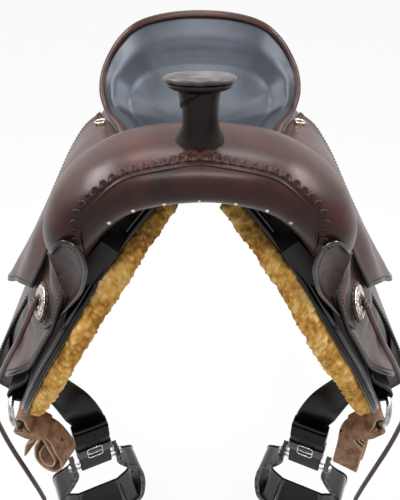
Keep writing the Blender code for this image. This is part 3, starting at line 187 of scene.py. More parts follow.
def leather(name, look):
    # Dyed and oiled cowhide: mottled colour, pebbled grain, creases, and dressed edges
    made, tree, shader = blankMaterial(name)
    place, ink = addNode(tree, "ShaderNodeTexCoord").outputs["Object"], linear(look["ink"])
    cloud = {"Scale": perMetre(look["cloudMm"]), "Detail": 4.0, "Roughness": 0.55, "Vector": place}
    tone = addNode(tree, "ShaderNodeValToRGB", {0: addNode(tree, "ShaderNodeTexNoise", cloud)})
    setRamp(tone, (0.32, look["deep"]), (0.70, look["pale"]))
    near = addNode(tree, "ShaderNodeAttribute", {"attribute_name": "edge"}).outputs["Fac"]
    start = 1 - look["edgeMm"] / 1000 / edgeReach
    smooth = {"interpolation_type": "SMOOTHSTEP"}
    inked = {**smooth, "From Min": start, "From Max": start + 0.08, "Value": near}
    inked = addNode(tree, "ShaderNodeMapRange", inked)
    mix = {"data_type": "RGBA", 0: inked, 6: tone, 7: ink}
    colour = addNode(tree, "ShaderNodeMix", mix).outputs[2]
    pebble = {"feature": "SMOOTH_F1", "Scale": perMetre(look["grainMm"]), "Randomness": 1.0, "Vector": place}
    pebble = addNode(tree, "ShaderNodeTexVoronoi", pebble)
    crease = {"Scale": perMetre(look["creaseMm"]), "Detail": 5.0, "Roughness": 0.6, "Distortion": 0.6}
    crease = addNode(tree, "ShaderNodeTexNoise", {**crease, "Vector": place})
    height = {"operation": "MULTIPLY_ADD", 0: crease, 1: look["creaseShare"], 2: pebble}
    height = addNode(tree, "ShaderNodeMath", height)
    for distance in look.get("tooledMm", ()):
        # A bevelled line pressed this far inside the rim
        line = 1 - distance / 1000 / edgeReach
        away = addNode(tree, "ShaderNodeMath", {"operation": "SUBTRACT", 0: near, 1: line})
        away = addNode(tree, "ShaderNodeMath", {"operation": "ABSOLUTE", 0: away})
        cut = {**smooth, "From Max": 0.055, "To Min": 1.0, "To Max": 0.0, "Value": away}
        cut = addNode(tree, "ShaderNodeMapRange", cut)
        height = addNode(tree, "ShaderNodeMath", {"operation": "MULTIPLY_ADD", 0: cut, 1: -6.0, 2: height})
        share = addNode(tree, "ShaderNodeMath", {"operation": "MULTIPLY", 0: cut, 1: 0.6})
        mix = {"data_type": "RGBA", 0: share, 6: colour, 7: ink}
        colour = addNode(tree, "ShaderNodeMix", mix).outputs[2]
    wear = {"Scale": perMetre(look["cloudMm"] * 0.4), "Detail": 3.0, "Vector": place}
    wear = addNode(tree, "ShaderNodeTexNoise", wear)
    rough = {"To Min": look["gloss"][0], "To Max": look["gloss"][1], "Value": wear}
    bump = {"Strength": look["bump"], "Distance": look["grainMm"] / 2500, "Height": height}
    # A tint, where one is given, paints a colour cast onto the reflections
    setNode(shader, {
        "Base Color": colour, "Roughness": addNode(tree, "ShaderNodeMapRange", rough),
        "Normal": addNode(tree, "ShaderNodeBump", bump), "Specular IOR Level": look["shine"],
        "Specular Tint": linear(look.get("tint", "FFFFFF")), "Coat Weight": look.get("coat", 0.0),
        "Coat Roughness": 0.14,
    })
    return made


skirting = {
    "deep": "200E0A", "pale": "3F1D15", "ink": "120A09", "edgeMm": 2.0, "cloudMm": 38, "grainMm": 0.9,
    "creaseMm": 7, "creaseShare": 1.1, "bump": 0.16, "gloss": (0.27, 0.38), "shine": 0.26,
}
# Vegetable-tanned skirting leather, oiled and waxed: red-brown with soft highlights
brownLeather = leather("Oiled skirting leather", skirting)
# The same hide with a line tooled inside its edge
tooledLeather = leather("Oiled skirting leather, edge tooled", {**skirting, "tooledMm": (7.0, 9.4)})
# The fork's cover, where "edge" runs across the carved border and two grooves are pressed beside it
carvedLeather = leather("Oiled skirting leather, carved border", {
    **skirting, "edgeMm": -2.0, "tooledMm": (11.5, 8.5),
})
# Cap leather rubbed by hands and rope: the dye is worn to bare hide in patches
wornLeather = leather("Rope-worn cap leather", {
    **skirting, "deep": "1A110E", "pale": "5E5658", "cloudMm": 17, "edgeMm": 0.5, "bump": 0.4,
    "gloss": (0.24, 0.42),
})
# Drum-dyed harness leather for skirts and rigging: nearly black, blue where the light rakes it
darkLeather = leather("Dark drum-dyed harness leather", {
    **skirting, "deep": "0B0A0C", "pale": "151417", "ink": "070708", "edgeMm": 1.5, "cloudMm": 30,
    "creaseMm": 6, "creaseShare": 0.9, "gloss": (0.28, 0.40),
})
# Chrome-tanned leather stretched over foam: smooth, blue-black, wide soft reflections with a painted blue
# cast
seatLeather = leather("Black chrome-tanned seat leather", {
    "deep": "11141A", "pale": "191E27", "ink": "12151A", "edgeMm": 1.3, "cloudMm": 60, "grainMm": 0.8,
    "creaseMm": 16, "creaseShare": 0.5, "bump": 0.06, "gloss": (0.38, 0.46), "shine": 0.48, "tint": "E4ECFA",
})
# The horn's wrapping, blackened by hands and rope
hornLeather = leather("Hand-blackened horn wrap leather", {
    **skirting, "deep": "0D0707", "pale": "1C100E", "ink": "0A0606", "edgeMm": 1.3, "cloudMm": 20,
    "creaseMm": 6, "creaseShare": 1.0, "bump": 0.2, "gloss": (0.30, 0.44), "shine": 0.2,
})
# Glazed black leather on the stirrups and rolled edges: a hard gloss
glazedLeather = leather("Glazed black stirrup leather", {
    "deep": "0A0A0C", "pale": "131317", "ink": "0A0A0C", "edgeMm": 1.3, "cloudMm": 30, "grainMm": 1.0,
    "creaseMm": 9, "creaseShare": 0.6, "bump": 0.10, "gloss": (0.18, 0.26), "shine": 0.45, "coat": 0.35,
})
# Latigo worn flesh side out: a dusty tan nap without gloss
roughout = leather("Tan roughout latigo", {
    "deep": "7A5A44", "pale": "B2927A", "ink": "C4A488", "edgeMm": 1.6, "cloudMm": 14, "grainMm": 1.2,
    "creaseMm": 2.5, "creaseShare": 1.4, "bump": 0.45, "gloss": (0.82, 0.95), "shine": 0.15,
})
# Oil-soaked latigo lace: dark red-brown, waxy along its crown
latigoLace = leather("Burgundy latigo lace", {
    "deep": "22100C", "pale": "46221A", "ink": "160A09", "edgeMm": 1.0, "cloudMm": 18, "grainMm": 1.0,
    "creaseMm": 4, "creaseShare": 1.0, "bump": 0.25, "gloss": (0.26, 0.38), "shine": 0.45,
})


def wool(name, look):
    # Sheepskin shearling: gold wool whose colour follows the pile's height ("pile": low in the hollows
    # between curls, high on their crests), with painted shade in the hollows and painted light on the crests
    made, tree, shader = blankMaterial(name)
    place = addNode(tree, "ShaderNodeTexCoord").outputs["Object"]
    depth = addNode(tree, "ShaderNodeAttribute", {"attribute_name": "pile"}).outputs["Fac"]
    lock = {"Scale": perMetre(look["lockMm"]), "Detail": 3.0, "Vector": place}
    lock = {"From Min": 0.3, "From Max": 0.7, "Value": addNode(tree, "ShaderNodeTexNoise", lock)}
    lock = addNode(tree, "ShaderNodeMapRange", {**lock, "To Min": -0.22, "To Max": 0.22})
    mixed = addNode(tree, "ShaderNodeMath", {"operation": "ADD", 0: lock, 1: depth})
    tone = addNode(tree, "ShaderNodeValToRGB", {0: mixed})
    setRamp(tone, (0.12, look["hollowShade"]), (0.5, look["body"]), (0.95, look["tip"]))
    fibre = {"Scale": perMetre(look["fibreMm"]), "Detail": 6.0, "Distortion": 1.5, "Vector": place}
    bump = {"Strength": 0.8, "Distance": 0.0012, "Height": addNode(tree, "ShaderNodeTexNoise", fibre)}
    setNode(shader, {
        "Base Color": tone, "Roughness": 0.95, "Normal": addNode(tree, "ShaderNodeBump", bump),
        "Specular IOR Level": 0.15, "Sheen Weight": 0.35, "Sheen Roughness": 0.5,
        "Sheen Tint": linear(look["sheen"]),
    })
    return made


fleeceWool = wool("Golden sheepskin shearling", {
    "hollowShade": "A06C2C", "body": "E6B05C", "tip": "FFDE98", "sheen": "F2C878", "lockMm": 9, "fibreMm": 1.6,
})


def metal(name, dull, bright, stainMm, gloss, scratchMm, bump):
    # Polished or tarnished metal: bright where it is rubbed, dull and rougher in its stains
    made, tree, shader = blankMaterial(name)
    place = addNode(tree, "ShaderNodeTexCoord").outputs["Object"]
    stain = {"Scale": perMetre(stainMm), "Detail": 5.0, "Vector": place}
    stain = addNode(tree, "ShaderNodeTexNoise", stain)
    tone = addNode(tree, "ShaderNodeValToRGB", {0: stain})
    setRamp(tone, (0.35, dull), (0.62, bright))
    rough = addNode(tree, "ShaderNodeMapRange", {"To Min": gloss[1], "To Max": gloss[0], "Value": stain})
    scratch = {"Scale": perMetre(scratchMm), "Detail": 4.0, "Vector": place}
    scratch = {"Strength": bump, "Distance": 0.0003, "Height": addNode(tree, "ShaderNodeTexNoise", scratch)}
    scratch = addNode(tree, "ShaderNodeBump", scratch)
    setNode(shader, {"Base Color": tone, "Roughness": rough, "Normal": scratch, "Metallic": 1.0})
    return made


# Rolled stainless rod and plate: bright, lightly brushed
stainless = metal("Polished stainless steel", "8E8F8E", "D2D2CE", 9, (0.20, 0.34), 1.2, 0.08)
# Cast and engraved nickel silver: warm white metal, tarnished in the cuts
nickelSilver = metal("Engraved nickel silver", "8A857A", "EAE6DA", 4, (0.18, 0.36), 1.6, 0.25)
# Ribbed strip round each stirrup: steel gone grey with wear
wornSteel = metal("Worn grey steel strip", "2A2A2D", "6E6E74", 7, (0.30, 0.46), 1.2, 0.1)
# Steel sleeve with a baked black finish
blackSteel = metal("Blackened steel", "0C0C0D", "1E1E20", 6, (0.28, 0.42), 1.2, 0.08)
# Cast brass, buffed and worn pale
castBrass = metal("Buffed cast brass", "B5AC8C", "F0EBD5", 5, (0.22, 0.36), 1.4, 0.15)


def plainFinish(name, pale, deep, rough, grainMm, bump, shine):
    # Rawhide, rubber, thread or dye: two tones of one colour over a fine bump
    made, tree, shader = blankMaterial(name)
    place = addNode(tree, "ShaderNodeTexCoord").outputs["Object"]
    cloud, grain = [addNode(tree, "ShaderNodeTexNoise", {
        "Scale": perMetre(grainMm * coarse), "Detail": detail, "Vector": place,
    }) for coarse, detail in ((6, 4.0), (1, 5.0))]
    tone = addNode(tree, "ShaderNodeMix", {"data_type": "RGBA", 0: cloud, 6: linear(deep), 7: linear(pale)})
    grain = addNode(tree, "ShaderNodeBump", {"Strength": bump, "Distance": grainMm / 3000, "Height": grain})
    setNode(shader, {
        "Base Color": tone.outputs[2], "Roughness": rough, "Normal": grain, "Specular IOR Level": shine,
    })
    return made


# Tree bars in rawhide coloured near-black: painted shade where they show between the seat, binding and
# jockeys
paintedShadeRawhide = plainFinish("Rawhide painted near-black as shade", "17110E", "0B0807", 0.4, 3.0, 0.3, 0.3)
# Wet-laced rawhide dried over pine: hard, yellowed, fibrous
rawhide = plainFinish("Laced rawhide over pine", "C9B08A", "8F7450", 0.6, 3.0, 0.4, 0.4)
# Moulded tread rubber: matt with dust in its pores
treadRubber = plainFinish("Moulded black rubber", "1C1C1D", "0E0E0F", 0.8, 1.2, 0.5, 0.3)
# Waxed linen thread, dyed with the leather
waxedThread = plainFinish("Waxed dark linen thread", "4A332B", "2C1C17", 0.55, 0.8, 0.4, 0.4)
# A near-black disc on each punched hole: painted shade for the hole's depth, with no gloss at all
holeShade = plainFinish("Punched hole painted as shade", "0B0807", "060504", 0.8, 1.0, 0.3, 0.2)
print("finishes mixed")


# Curves and surfaces that the pieces share
def metres(value):
    # Tables of sizes and points are listed in millimetres
    return tuple(metres(v) for v in value) if isinstance(value, tuple) else value / 1000


def ease(a, b, start, end, at):
    t = min(1.0, max(0.0, (at - start) / (end - start)))
    return a + (b - a) * t * t * (3 - 2 * t)


def spread(start, end, count):
    return [start + (end - start) * i / (count - 1) for i in range(count)]


def roundTurns(count):
    return [2 * math.pi * i / count for i in range(count)]


def squared(value, power):
    # Squares off a circle's sine or cosine
    return math.copysign(abs(value) ** power, value)


def hump(at, middle, reach):
    return math.exp(-(((at - middle) / reach) ** 2))


def valueThrough(knots, at):
    # A smooth value at a place, from (place, value) pairs in rising order
    if at <= knots[0][0]:
        return knots[0][1]
    for (a, low), (b, high) in zip(knots, knots[1:]):
        if at <= b:
            return ease(low, high, a, b, at)
    return knots[-1][1]


def alongCurve(curve, at):
    # A value at a place, from a curve's closely set points
    if at <= curve[0].x:
        return curve[0].y
    for a, b in zip(curve, curve[1:]):
        if at <= b.x:
            return a.y + (b.y - a.y) * (at - a.x) / (b.x - a.x)
    return curve[-1].y


def bend(a, b, c, d, t):
    straight = 2 * b + (c - a) * t
    return 0.5 * (straight + (2 * a - 5 * b + 4 * c - d) * t * t + (3 * b - a - 3 * c + d) * t * t * t)


def smoothLine(points, perSpan):
    points = [Vector(p) for p in points]
    ends = [2 * points[0] - points[1]] + points + [2 * points[-1] - points[-2]]
    out = [bend(*ends[i : i + 4], j / perSpan) for i in range(len(points) - 1) for j in range(perSpan)]
    return out + [points[-1]]


def smoothLoop(points, perSpan):
    out = []
    for i in range(len(points)):
        four = [points[(i + step) % len(points)] for step in (-1, 0, 1, 2)]
        out += [bend(*four, j / perSpan) for j in range(perSpan)]
    return out


def knotCurve(knots):
    return smoothLine([(a, b, 0) for a, b in knots], 4)


def lineLength(points):
    return sum((b - a).length for a, b in zip(points, points[1:]))


def evenLine(points, step):
    # The same line with its points at one spacing
    lengths = [0.0]
    for a, b in zip(points, points[1:]):
        lengths.append(lengths[-1] + (b - a).length)
    out, i = [], 0
    for at in spread(0.0, lengths[-1], max(2, round(lengths[-1] / step) + 1)):
        while i < len(points) - 2 and lengths[i + 1] < at:
            i += 1
        span = lengths[i + 1] - lengths[i] or 1.0
        out.append(points[i].lerp(points[i + 1], (at - lengths[i]) / span))
    return out


def heading(path, i, cyclic=False):
    # The direction of a path at one of its points
    ahead, back = (i + 1) % len(path), i - 1
    if not cyclic:
        ahead, back = min(i + 1, len(path) - 1), max(i - 1, 0)
    return (path[ahead] - path[back]).normalized()


def mirrored(point, side):
    return Vector((point[0] * side, point[1], point[2]))


def mirrorGrid(grid, side):
    return [[mirrored(p, side) for p in row] for row in grid]


def nearestIn(places):
    # A tree that finds the nearest of these places
    tree = KDTree(len(places))
    for i, place in enumerate(places):
        tree.insert(place, i)
    tree.balance()
    return tree


# The horse's side: arcs that fall outwards from a top line, one for each place along the back
sideCurl = math.radians(68)
topForm = {  # from one value to another, between two places along the saddle
    "halfWidth": (0.034, 0.050, -0.02, 0.16), "height": (0.076, 0.045, -0.06, 0.17),
    "rearRise": (0.0, 0.010, 0.28, 0.54), "slope": (math.radians(46), math.radians(39), 0.20, 0.54),
}


def topLine(y):
    x, z, rise, slope = (ease(*form, y) for form in topForm.values())
    return x, z + rise, slope


def sideFrame(y, s):
    x, z, slope = topLine(y)
    angle = slope + sideCurl * s
    place = Vector((x + (math.sin(angle) - math.sin(slope)) / sideCurl, y, 0.0))
    place.z = z + (math.cos(angle) - math.cos(slope)) / sideCurl
    down = Vector((math.cos(angle), 0.0, -math.sin(angle)))
    return place, down, Vector((math.sin(angle), 0.0, math.cos(angle)))


def onSide(y, s, standOff):
    place, _, out = sideFrame(y, s)
    return place + standOff * out


def liftOff(point, standOff):
    # Moves a point that is nearer the horse than standOff out to it
    side = 1 if point.x >= 0 else -1
    x, z, slope = topLine(point.y)
    centre = Vector((x - math.sin(slope) / sideCurl, point.y, z - math.cos(slope) / sideCurl))
    arm = mirrored(point, side) - centre
    least = 1 / sideCurl + standOff
    if arm.length >= least or arm.x < 0:
        return point
    return mirrored(centre + arm.normalized() * least, side)


# Making and fitting pieces
def editMesh(mesh, merge=None):
    # Turns every face outwards, after merging the points that lie closer than merge
    shape = bmesh.new()
    shape.from_mesh(mesh)
    if merge:
        bmesh.ops.remove_doubles(shape, verts=shape.verts, dist=merge)
    bmesh.ops.recalc_face_normals(shape, faces=shape.faces)
    shape.to_mesh(mesh)
    shape.free()


def meshPiece(name, points, faces, finish):
    mesh = rawMesh(name, points, [], faces)
    editMesh(mesh)
    mesh.shade_smooth()
    mesh.materials.append(finish)
    return linkObject(name, mesh)


def fit(made, body, slot, *replaced):
    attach(made, body)
    if replaced:
        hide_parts(*replaced)
    return made


def markPoints(mesh, name, values, kind="FLOAT"):
    layer = mesh.attributes.new(name, kind, "POINT")
    layer.data.foreach_set("value" if kind == "FLOAT" else "vector", values)


def markEdges(made, marks):
    # The points that close a strap's ends count as its rim
    markPoints(made.data, "edge", marks + [1.0] * (len(made.data.vertices) - len(marks)))
    return made


def loft(name, rings, finish, cyclic=False, sharp=50):
    # A skin over rings of equal size, capped at both ends unless it closes on itself
    count = len(rings[0])
    points = [p for ring in rings for p in ring]
    faces = []
    for i in range(len(rings) if cyclic else len(rings) - 1):
        low, high = i * count, ((i + 1) % len(rings)) * count
        faces += [(low + j, low + (j + 1) % count, high + (j + 1) % count, high + j) for j in range(count)]
    if not cyclic:
        for start in (0, len(points) - count):
            points.append(sum(points[start : start + count], Vector()) / count)
            faces += [(start + j, start + (j + 1) % count, len(points) - 1) for j in range(count)]
    made = meshPiece(name, points, faces, finish)
    made.data.set_sharp_from_angle(angle=math.radians(sharp))
    return made


def turned(name, centre, axis, profile, finish, count=48, shape=None):
    # A turned piece from (height, radius) pairs; shape may change each radius and height by turn
    axis = Vector(axis).normalized()
    side = axis.orthogonal().normalized()
    up = axis.cross(side)
    rings = []
    for h, r in profile:
        rings.append([])
        for t in roundTurns(count):
            high, wide = shape(h, r, t) if shape else (h, r)
            rings[-1].append(Vector(centre) + axis * high + (math.cos(t) * side + math.sin(t) * up) * wide)
    return loft(name, rings, finish)


def tube(name, path, radii, finish, cyclic=False, count=10, start=None):
    # A round or oval cord along a path, carried without twist; radii is one number, or (wide, high),
    # or a list of these
    side = Vector(start) if start else heading(path, 0, cyclic).orthogonal()
    rings = []
    for i, place in enumerate(path):
        along = heading(path, i, cyclic)
        side = (side - along * side.dot(along)).normalized()
        up = along.cross(side)
        size = radii[i] if isinstance(radii, list) else radii
        wide, high = size if isinstance(size, tuple) else (size, size)
        rings.append([place + side * wide * math.cos(t) + up * high * math.sin(t)
                      for t in roundTurns(count)])
    return loft(name, rings, finish, cyclic)


def joinPieces(name, pieces):
    shape = bmesh.new()
    finishes = []
    for piece in pieces:
        finishes += [item for item in piece.data.materials if item not in finishes]
        first = len(shape.faces)
        shape.from_mesh(piece.data)
        shape.faces.ensure_lookup_table()
        for face in shape.faces[first:]:
            face.material_index = finishes.index(piece.data.materials[face.material_index])
        bpy.data.objects.remove(piece)
    mesh = bpy.data.meshes.new(name)
    shape.to_mesh(mesh)
    shape.free()
    for item in finishes:
        mesh.materials.append(item)
    return linkObject(name, mesh)


def leatherSheet(name, grid, thickness, finish, facing=None, rolls=4, bulge=0.45, plump=None):
    # A closed sheet: its inner face is the grid, its edge is burnished round. Returns the piece
    # and its rim as (place, outward normal, away from the sheet) for each edge of the grid.
    # plump holds a share of the thickness for each point of the grid, where it isn't even.
    rows, columns = len(grid), len(grid[0])
    inner = [p for row in grid for p in row]
    total = rows * columns
    middle = sum(inner, Vector()) / total
    normals = []
    for i in range(rows):
        for j in range(columns):
            a = grid[min(i + 1, rows - 1)][j] - grid[max(i - 1, 0)][j]
            b = grid[i][min(j + 1, columns - 1)] - grid[i][max(j - 1, 0)]
            normals.append(a.cross(b).normalized())
    facing = Vector(facing or (math.copysign(1, middle.x), 0, 0.5))
    if normals[total // 2 + columns // 2].dot(facing) < 0:
        normals = [-n for n in normals]
    deep = [thickness * share for share in plump or [1.0] * total]
    order = list(range(columns))
    order += [i * columns + columns - 1 for i in range(1, rows)]
    order += [(rows - 1) * columns + j for j in range(columns - 2, -1, -1)]
    order += [i * columns for i in range(rows - 2, 0, -1)]
    rim = []
    for k, at in enumerate(order):
        along = inner[order[(k + 1) % len(order)]] - inner[order[k - 1]]
        rim.append((inner[at], normals[at], along.cross(normals[at]).normalized()))
    if sum((p - middle).normalized().dot(a) for p, _, a in rim) < 0:
        rim = [(p, n, -a) for p, n, a in rim]
    points = inner + [p + n * d for p, n, d in zip(inner, normals, deep)]
    faces = []
    for i in range(rows - 1):
        for a in range(i * columns, i * columns + columns - 1):
            b = a + columns
            faces.append((a, a + 1, b + 1, b))
            faces.append((total + a, total + b, total + b + 1, total + a + 1))
    bands = [order]
    for step in range(1, rolls + 1):
        t = math.pi * (step / (rolls + 1) - 0.5)
        bands.append(list(range(len(points), len(points) + len(order))))
        for at, (place, n, a) in zip(order, rim):
            points.append(place + n * deep[at] * (0.5 + 0.5 * math.sin(t))
                          + a * deep[at] * bulge * math.cos(t))
    bands.append([total + at for at in order])
    for low, high in zip(bands, bands[1:]):
        for k in range(len(order)):
            m = (k + 1) % len(order)
            faces.append((low[k], low[m], high[m], high[k]))
    made = meshPiece(name, points, faces, finish)
    tree = nearestIn([place for place, _, _ in rim])
    near = [max(0.0, 1 - tree.find(p)[2] / edgeReach) for p in inner]
    markEdges(made, near + near)
    last = columns + rows - 2
    return made, {
        "firstRow": rim[:columns], "lastColumn": rim[columns - 1 : last + 1],
        "lastRow": rim[last : last + columns], "firstColumn": rim[last + columns - 1 :] + rim[:1],
    }


def rimLine(edge, inset, lift):
    return [place + n * lift - a * inset for place, n, a in edge]


# Geometry Nodes: one tree sews stitches along lines, one sets stamps and tacks on points
def instanceTree(name, inputs, lay):
    # Lays copies of a small shape, makes them real and gives them their finish
    tree = bpy.data.node_groups.new(name, "GeometryNodeTree")
    for label, kind, value in (("Geometry", "Geometry", None), *inputs, ("Finish", "Material", None)):
        socket = tree.interface.new_socket(label, in_out="INPUT", socket_type=f"NodeSocket{kind}")
        if value is not None:
            socket.default_value = value
    tree.interface.new_socket("Geometry", in_out="OUTPUT", socket_type="NodeSocketGeometry")
    given = addNode(tree, "NodeGroupInput").outputs
    laid = addNode(tree, "GeometryNodeInstanceOnPoints", lay(tree, given))
    real = addNode(tree, "GeometryNodeRealizeInstances", {0: laid})
    dyed = addNode(tree, "GeometryNodeSetMaterial", {"Geometry": real, "Material": given["Finish"]})
    addNode(tree, "NodeGroupOutput", {0: dyed})
    return tree


def layStitches(tree, given):
    line = addNode(tree, "GeometryNodeMeshToCurve", {0: given["Geometry"]})
    line = {"mode": "LENGTH", "Curve": line, "Length": given["Pitch"]}
    size = {0: given["Stitch Length"], 1: given["Thread Width"], 2: given["Thread Width"]}
    turn = {"axis": "X", "Vector": addNode(tree, "GeometryNodeInputTangent")}
    return {
        "Points": addNode(tree, "GeometryNodeResampleCurve", line),
        "Instance": addNode(tree, "GeometryNodeMeshUVSphere", {"Segments": 6, "Rings": 4, "Radius": 0.5}),
        "Rotation": addNode(tree, "FunctionNodeAlignRotationToVector", turn),
        "Scale": addNode(tree, "ShaderNodeCombineXYZ", size),
    }


def layStamps(tree, given):
    up, along, own = [
        addNode(tree, "GeometryNodeInputNamedAttribute", {"data_type": kind, "Name": name})
        for kind, name in (("FLOAT_VECTOR", "up"), ("FLOAT_VECTOR", "along"), ("FLOAT", "size"))
    ]
    size = addNode(tree, "ShaderNodeMath", {"operation": "MULTIPLY", 0: own, 1: given["Size"]})
    turn = {"primary_axis": "Z", "secondary_axis": "X", "Primary Axis": up, "Secondary Axis": along}
    stamp = addNode(tree, "GeometryNodeObjectInfo", {"Object": given["Stamp"]})
    return {
        "Points": given["Geometry"], "Instance": stamp.outputs["Geometry"],
        "Rotation": addNode(tree, "FunctionNodeAxesToRotation", turn), "Scale": size,
    }


stitchTree = instanceTree("stitchRow", (
    ("Pitch", "Float", 0.005), ("Stitch Length", "Float", 0.0036), ("Thread Width", "Float", 0.0011),
), layStitches)
stampTree = instanceTree("stampOnPoints", (("Stamp", "Object", None), ("Size", "Float", 1.0)), layStamps)


def runTree(made, tree, values):
    step = made.modifiers.new("Nodes", "NODES")
    step.node_group = tree
    for item in tree.interface.items_tree:
        if item.item_type == "SOCKET" and item.in_out == "INPUT" and item.name in values:
            step[item.identifier] = values[item.name]
    result = bpy.data.meshes.new_from_object(made.evaluated_get(bpy.context.evaluated_depsgraph_get()))
    made.modifiers.clear()
    made.data = result
    result.shade_smooth()
    return made


def sew(name, lines, body, slot, pitch=0.0050, length=0.0036, width=0.0011):
    points, edges = [], []
    for line in lines:
        first = len(points)
        points += line
        edges += [(first + i, first + i + 1) for i in range(len(line) - 1)]
    made = linkObject(name, rawMesh(name, points, edges, []))
    thread = {"Pitch": pitch, "Stitch Length": length, "Thread Width": width, "Finish": waxedThread}
    return fit(runTree(made, stitchTree, thread), body, slot)


def sewRim(name, rim, edges, inset, lift, body, slot, **thread):
    sew(name, [rimLine(rim[edge], inset, lift) for edge in edges], body, slot, **thread)


def stampAll(name, spots, stamp, body, slot):
    # Each spot is (place, up, along, size); the stamp itself goes once it has been used
    places, ups, alongs, sizes = zip(*spots)
    mesh = rawMesh(name, places, [], [])
    for label, values in (("up", ups), ("along", alongs)):
        markPoints(mesh, label, [number for value in values for number in value], "FLOAT_VECTOR")
    markPoints(mesh, "size", sizes)
    made = linkObject(name, mesh)
    runTree(made, stampTree, {"Stamp": stamp, "Size": 1.0, "Finish": stamp.data.materials[0]})
    bpy.data.objects.remove(stamp)
    return fit(made, body, slot)


def movePoints(made, rule):
    # Moves each point by a rule of its index, place and normal, all read before any is written
    before = [(vertex.co.copy(), vertex.normal.copy()) for vertex in made.data.vertices]
    places = [rule(i, place, normal) for i, (place, normal) in enumerate(before)]
    made.data.vertices.foreach_set("co", [value for place in places for value in place])
    made.data.update()


def roughen(made, height, reach, seed):
    # Slight unevenness of hand-laid leather
    shift = Vector((seed, seed, seed))

    def shifted(i, place, normal):
        return place + normal * noise.noise(place * (1 / reach) + shift) * height

    movePoints(made, shifted)


# Saddle strings: a flat lace tied through each concho, which hangs past the jockey's front edge
strings = {
    "route": metres((
        (190, 4.5, -64), (212, -12, -105), (237, -10, -150), (257.5, -5, -190), (272, 0, -225),
        (277, 0, -260), (274, 0, -300), (268, 0, -340), (258, 0, -390), (250, 0, -430), (243, 0, -470),
    )),
    "step": 0.006, "halfWidth": 0.0054, "halfThickness": 0.0027, "cordDiameter": 0.008,
    "pinch": (0.25, 3), "wave": (0.05, 0.7), "across": (0.35, 0.94, 0),
}


def addStrings():
    for end, side in sides.items():
        path = evenLine(smoothLine([mirrored(p, side) for p in strings["route"]], 8), strings["step"])
        sizes = []
        (pinchShare, reach), (waveShare, pace) = strings["pinch"], strings["wave"]
        for i in range(len(path)):
            # The lace is flattest where it leaves the knot and curls a little below
            pinch = 1 - pinchShare * hump(i, 0, reach) + waveShare * math.sin(i * pace)
            sizes.append((strings["halfWidth"] * pinch, strings["halfThickness"] * (2 - pinch)))
        start = mirrored(strings["across"], side)
        lace = tube(f"saddleString_{end}", path, sizes, latigoLace, count=14, start=start)
        fit(lace, "saddle", "dark_leather", f"saddle_string_{end}")
        tuple(mirrored(strings["route"][0], side))
        lineLength(path)


addStrings()
print("strings laid")


# Fork: the leather over the swell, its lining under the gullet, and the carved border
fork = {
    "swell": metres((
        (0, 147), (42, 144.5), (78, 137), (110, 121), (138, 98), (154.5, 70), (160, 42), (157.5, 16),
        (152, -6), (148, -28),
    )),
    "gullet": metres((
        (0, 93), (32, 89.5), (60, 81), (81, 66), (96, 49), (107, 32), (114, 16), (119, 0),
        (122, -16), (124, -34),
    )),
    "halfDepth": 0.058, "footHalfDepth": 0.033, "footY": 0.010, "footFrom": 0.45, "footTo": 0.85,
    "square": 2.5, "perSpan": 8, "wrapAngle": 146, "seam": 0.8, "round": 121, "thickness": 0.005,
    "overBars": 0.0281, "barsFrom": 0.085, "uneven": (0.0006, 0.035, 3.0),
    # How far round the section the border runs, by share of the way down each leg
    "border": ((0.0, 46), (0.04, 49.5), (0.10, 53.5), (0.20, 58.5), (0.29, 72), (0.355, 80), (0.40, 90),
               (0.444, 105), (0.51, 124), (0.56, 138)),
    "borderEnd": 0.56, "borderReach": 0.010, "scallopEnd": 0.52,
    "scallopPitch": 0.0090, "scallopSize": 0.0047, "scallopOut": 0.0030,
    "shellGrowth": 0.75, "shellReach": 0.055,
    # A ridge along the scallops' feet, with a thin near-black cord at each side as painted shade for the
    # pressed grooves: degrees past the border, and radius
    "lines": ((1.6, 0.0010, brownLeather), (0.4, 0.0006, hornLeather), (2.9, 0.0006, hornLeather)),
    "tackAngle": 115, "tackRadius": 0.0024, "tackHeight": 0.0016, "tackEnd": 0.31, "tacks": 7,
}
borderCurve = knotCurve(fork["border"])


def forkSections():
    def arch(outline):
        half = [Vector((x, 0, z)) for x, z in outline]
        return smoothLine([mirrored(p, -1) for p in half[:0:-1]] + half, fork["perSpan"])

    swell, gullet = arch(fork["swell"]), arch(fork["gullet"])
    last = (len(swell) - 1) // 2
    out = []
    for i, (outer, inner) in enumerate(zip(swell, gullet)):
        foot = ease(0.0, 1.0, fork["footFrom"], fork["footTo"], abs(i - last) / last)
        depth = fork["halfDepth"] + (fork["footHalfDepth"] - fork["halfDepth"]) * foot
        middle = (outer + inner) / 2 + Vector((0, fork["footY"] * foot, 0))
        out.append((middle, (outer - inner).normalized(), (outer - inner).length / 2, depth))
    return out


def forkPoint(section, angle, inset=0.0):
    # Angle 0 faces outwards, -90 degrees the front and 90 the rear
    middle, out, height, depth = section
    power = 2 / fork["square"]
    up = squared(math.cos(angle), power) * (height - inset)
    return middle + up * out + Vector((0, squared(math.sin(angle), power) * (depth - inset), 0))


def forkPlace(along, angle):
    # A place on the cover: along is -1 to 1 over the arch, angle in degrees
    at = (along + 1) / 2 * (len(sections) - 1)
    i = min(int(at), len(sections) - 2)
    low, high = (forkPoint(sections[k], math.radians(angle)) for k in (i, i + 1))
    return low.lerp(high, at - i)


def forkFrame(along, angle):
    place = forkPlace(along, angle)
    across = forkPlace(min(1, along + 0.004), angle) - forkPlace(max(-1, along - 0.004), angle)
    up = across.cross(forkPlace(along, angle + 1.0) - forkPlace(along, angle - 1.0)).normalized()
    if up.dot(place - Vector((0, 0, 0.06))) < 0:
        up = -up
    return place, up, across.normalized()


def borderAngle(along):
    return -alongCurve(borderCurve, abs(along))


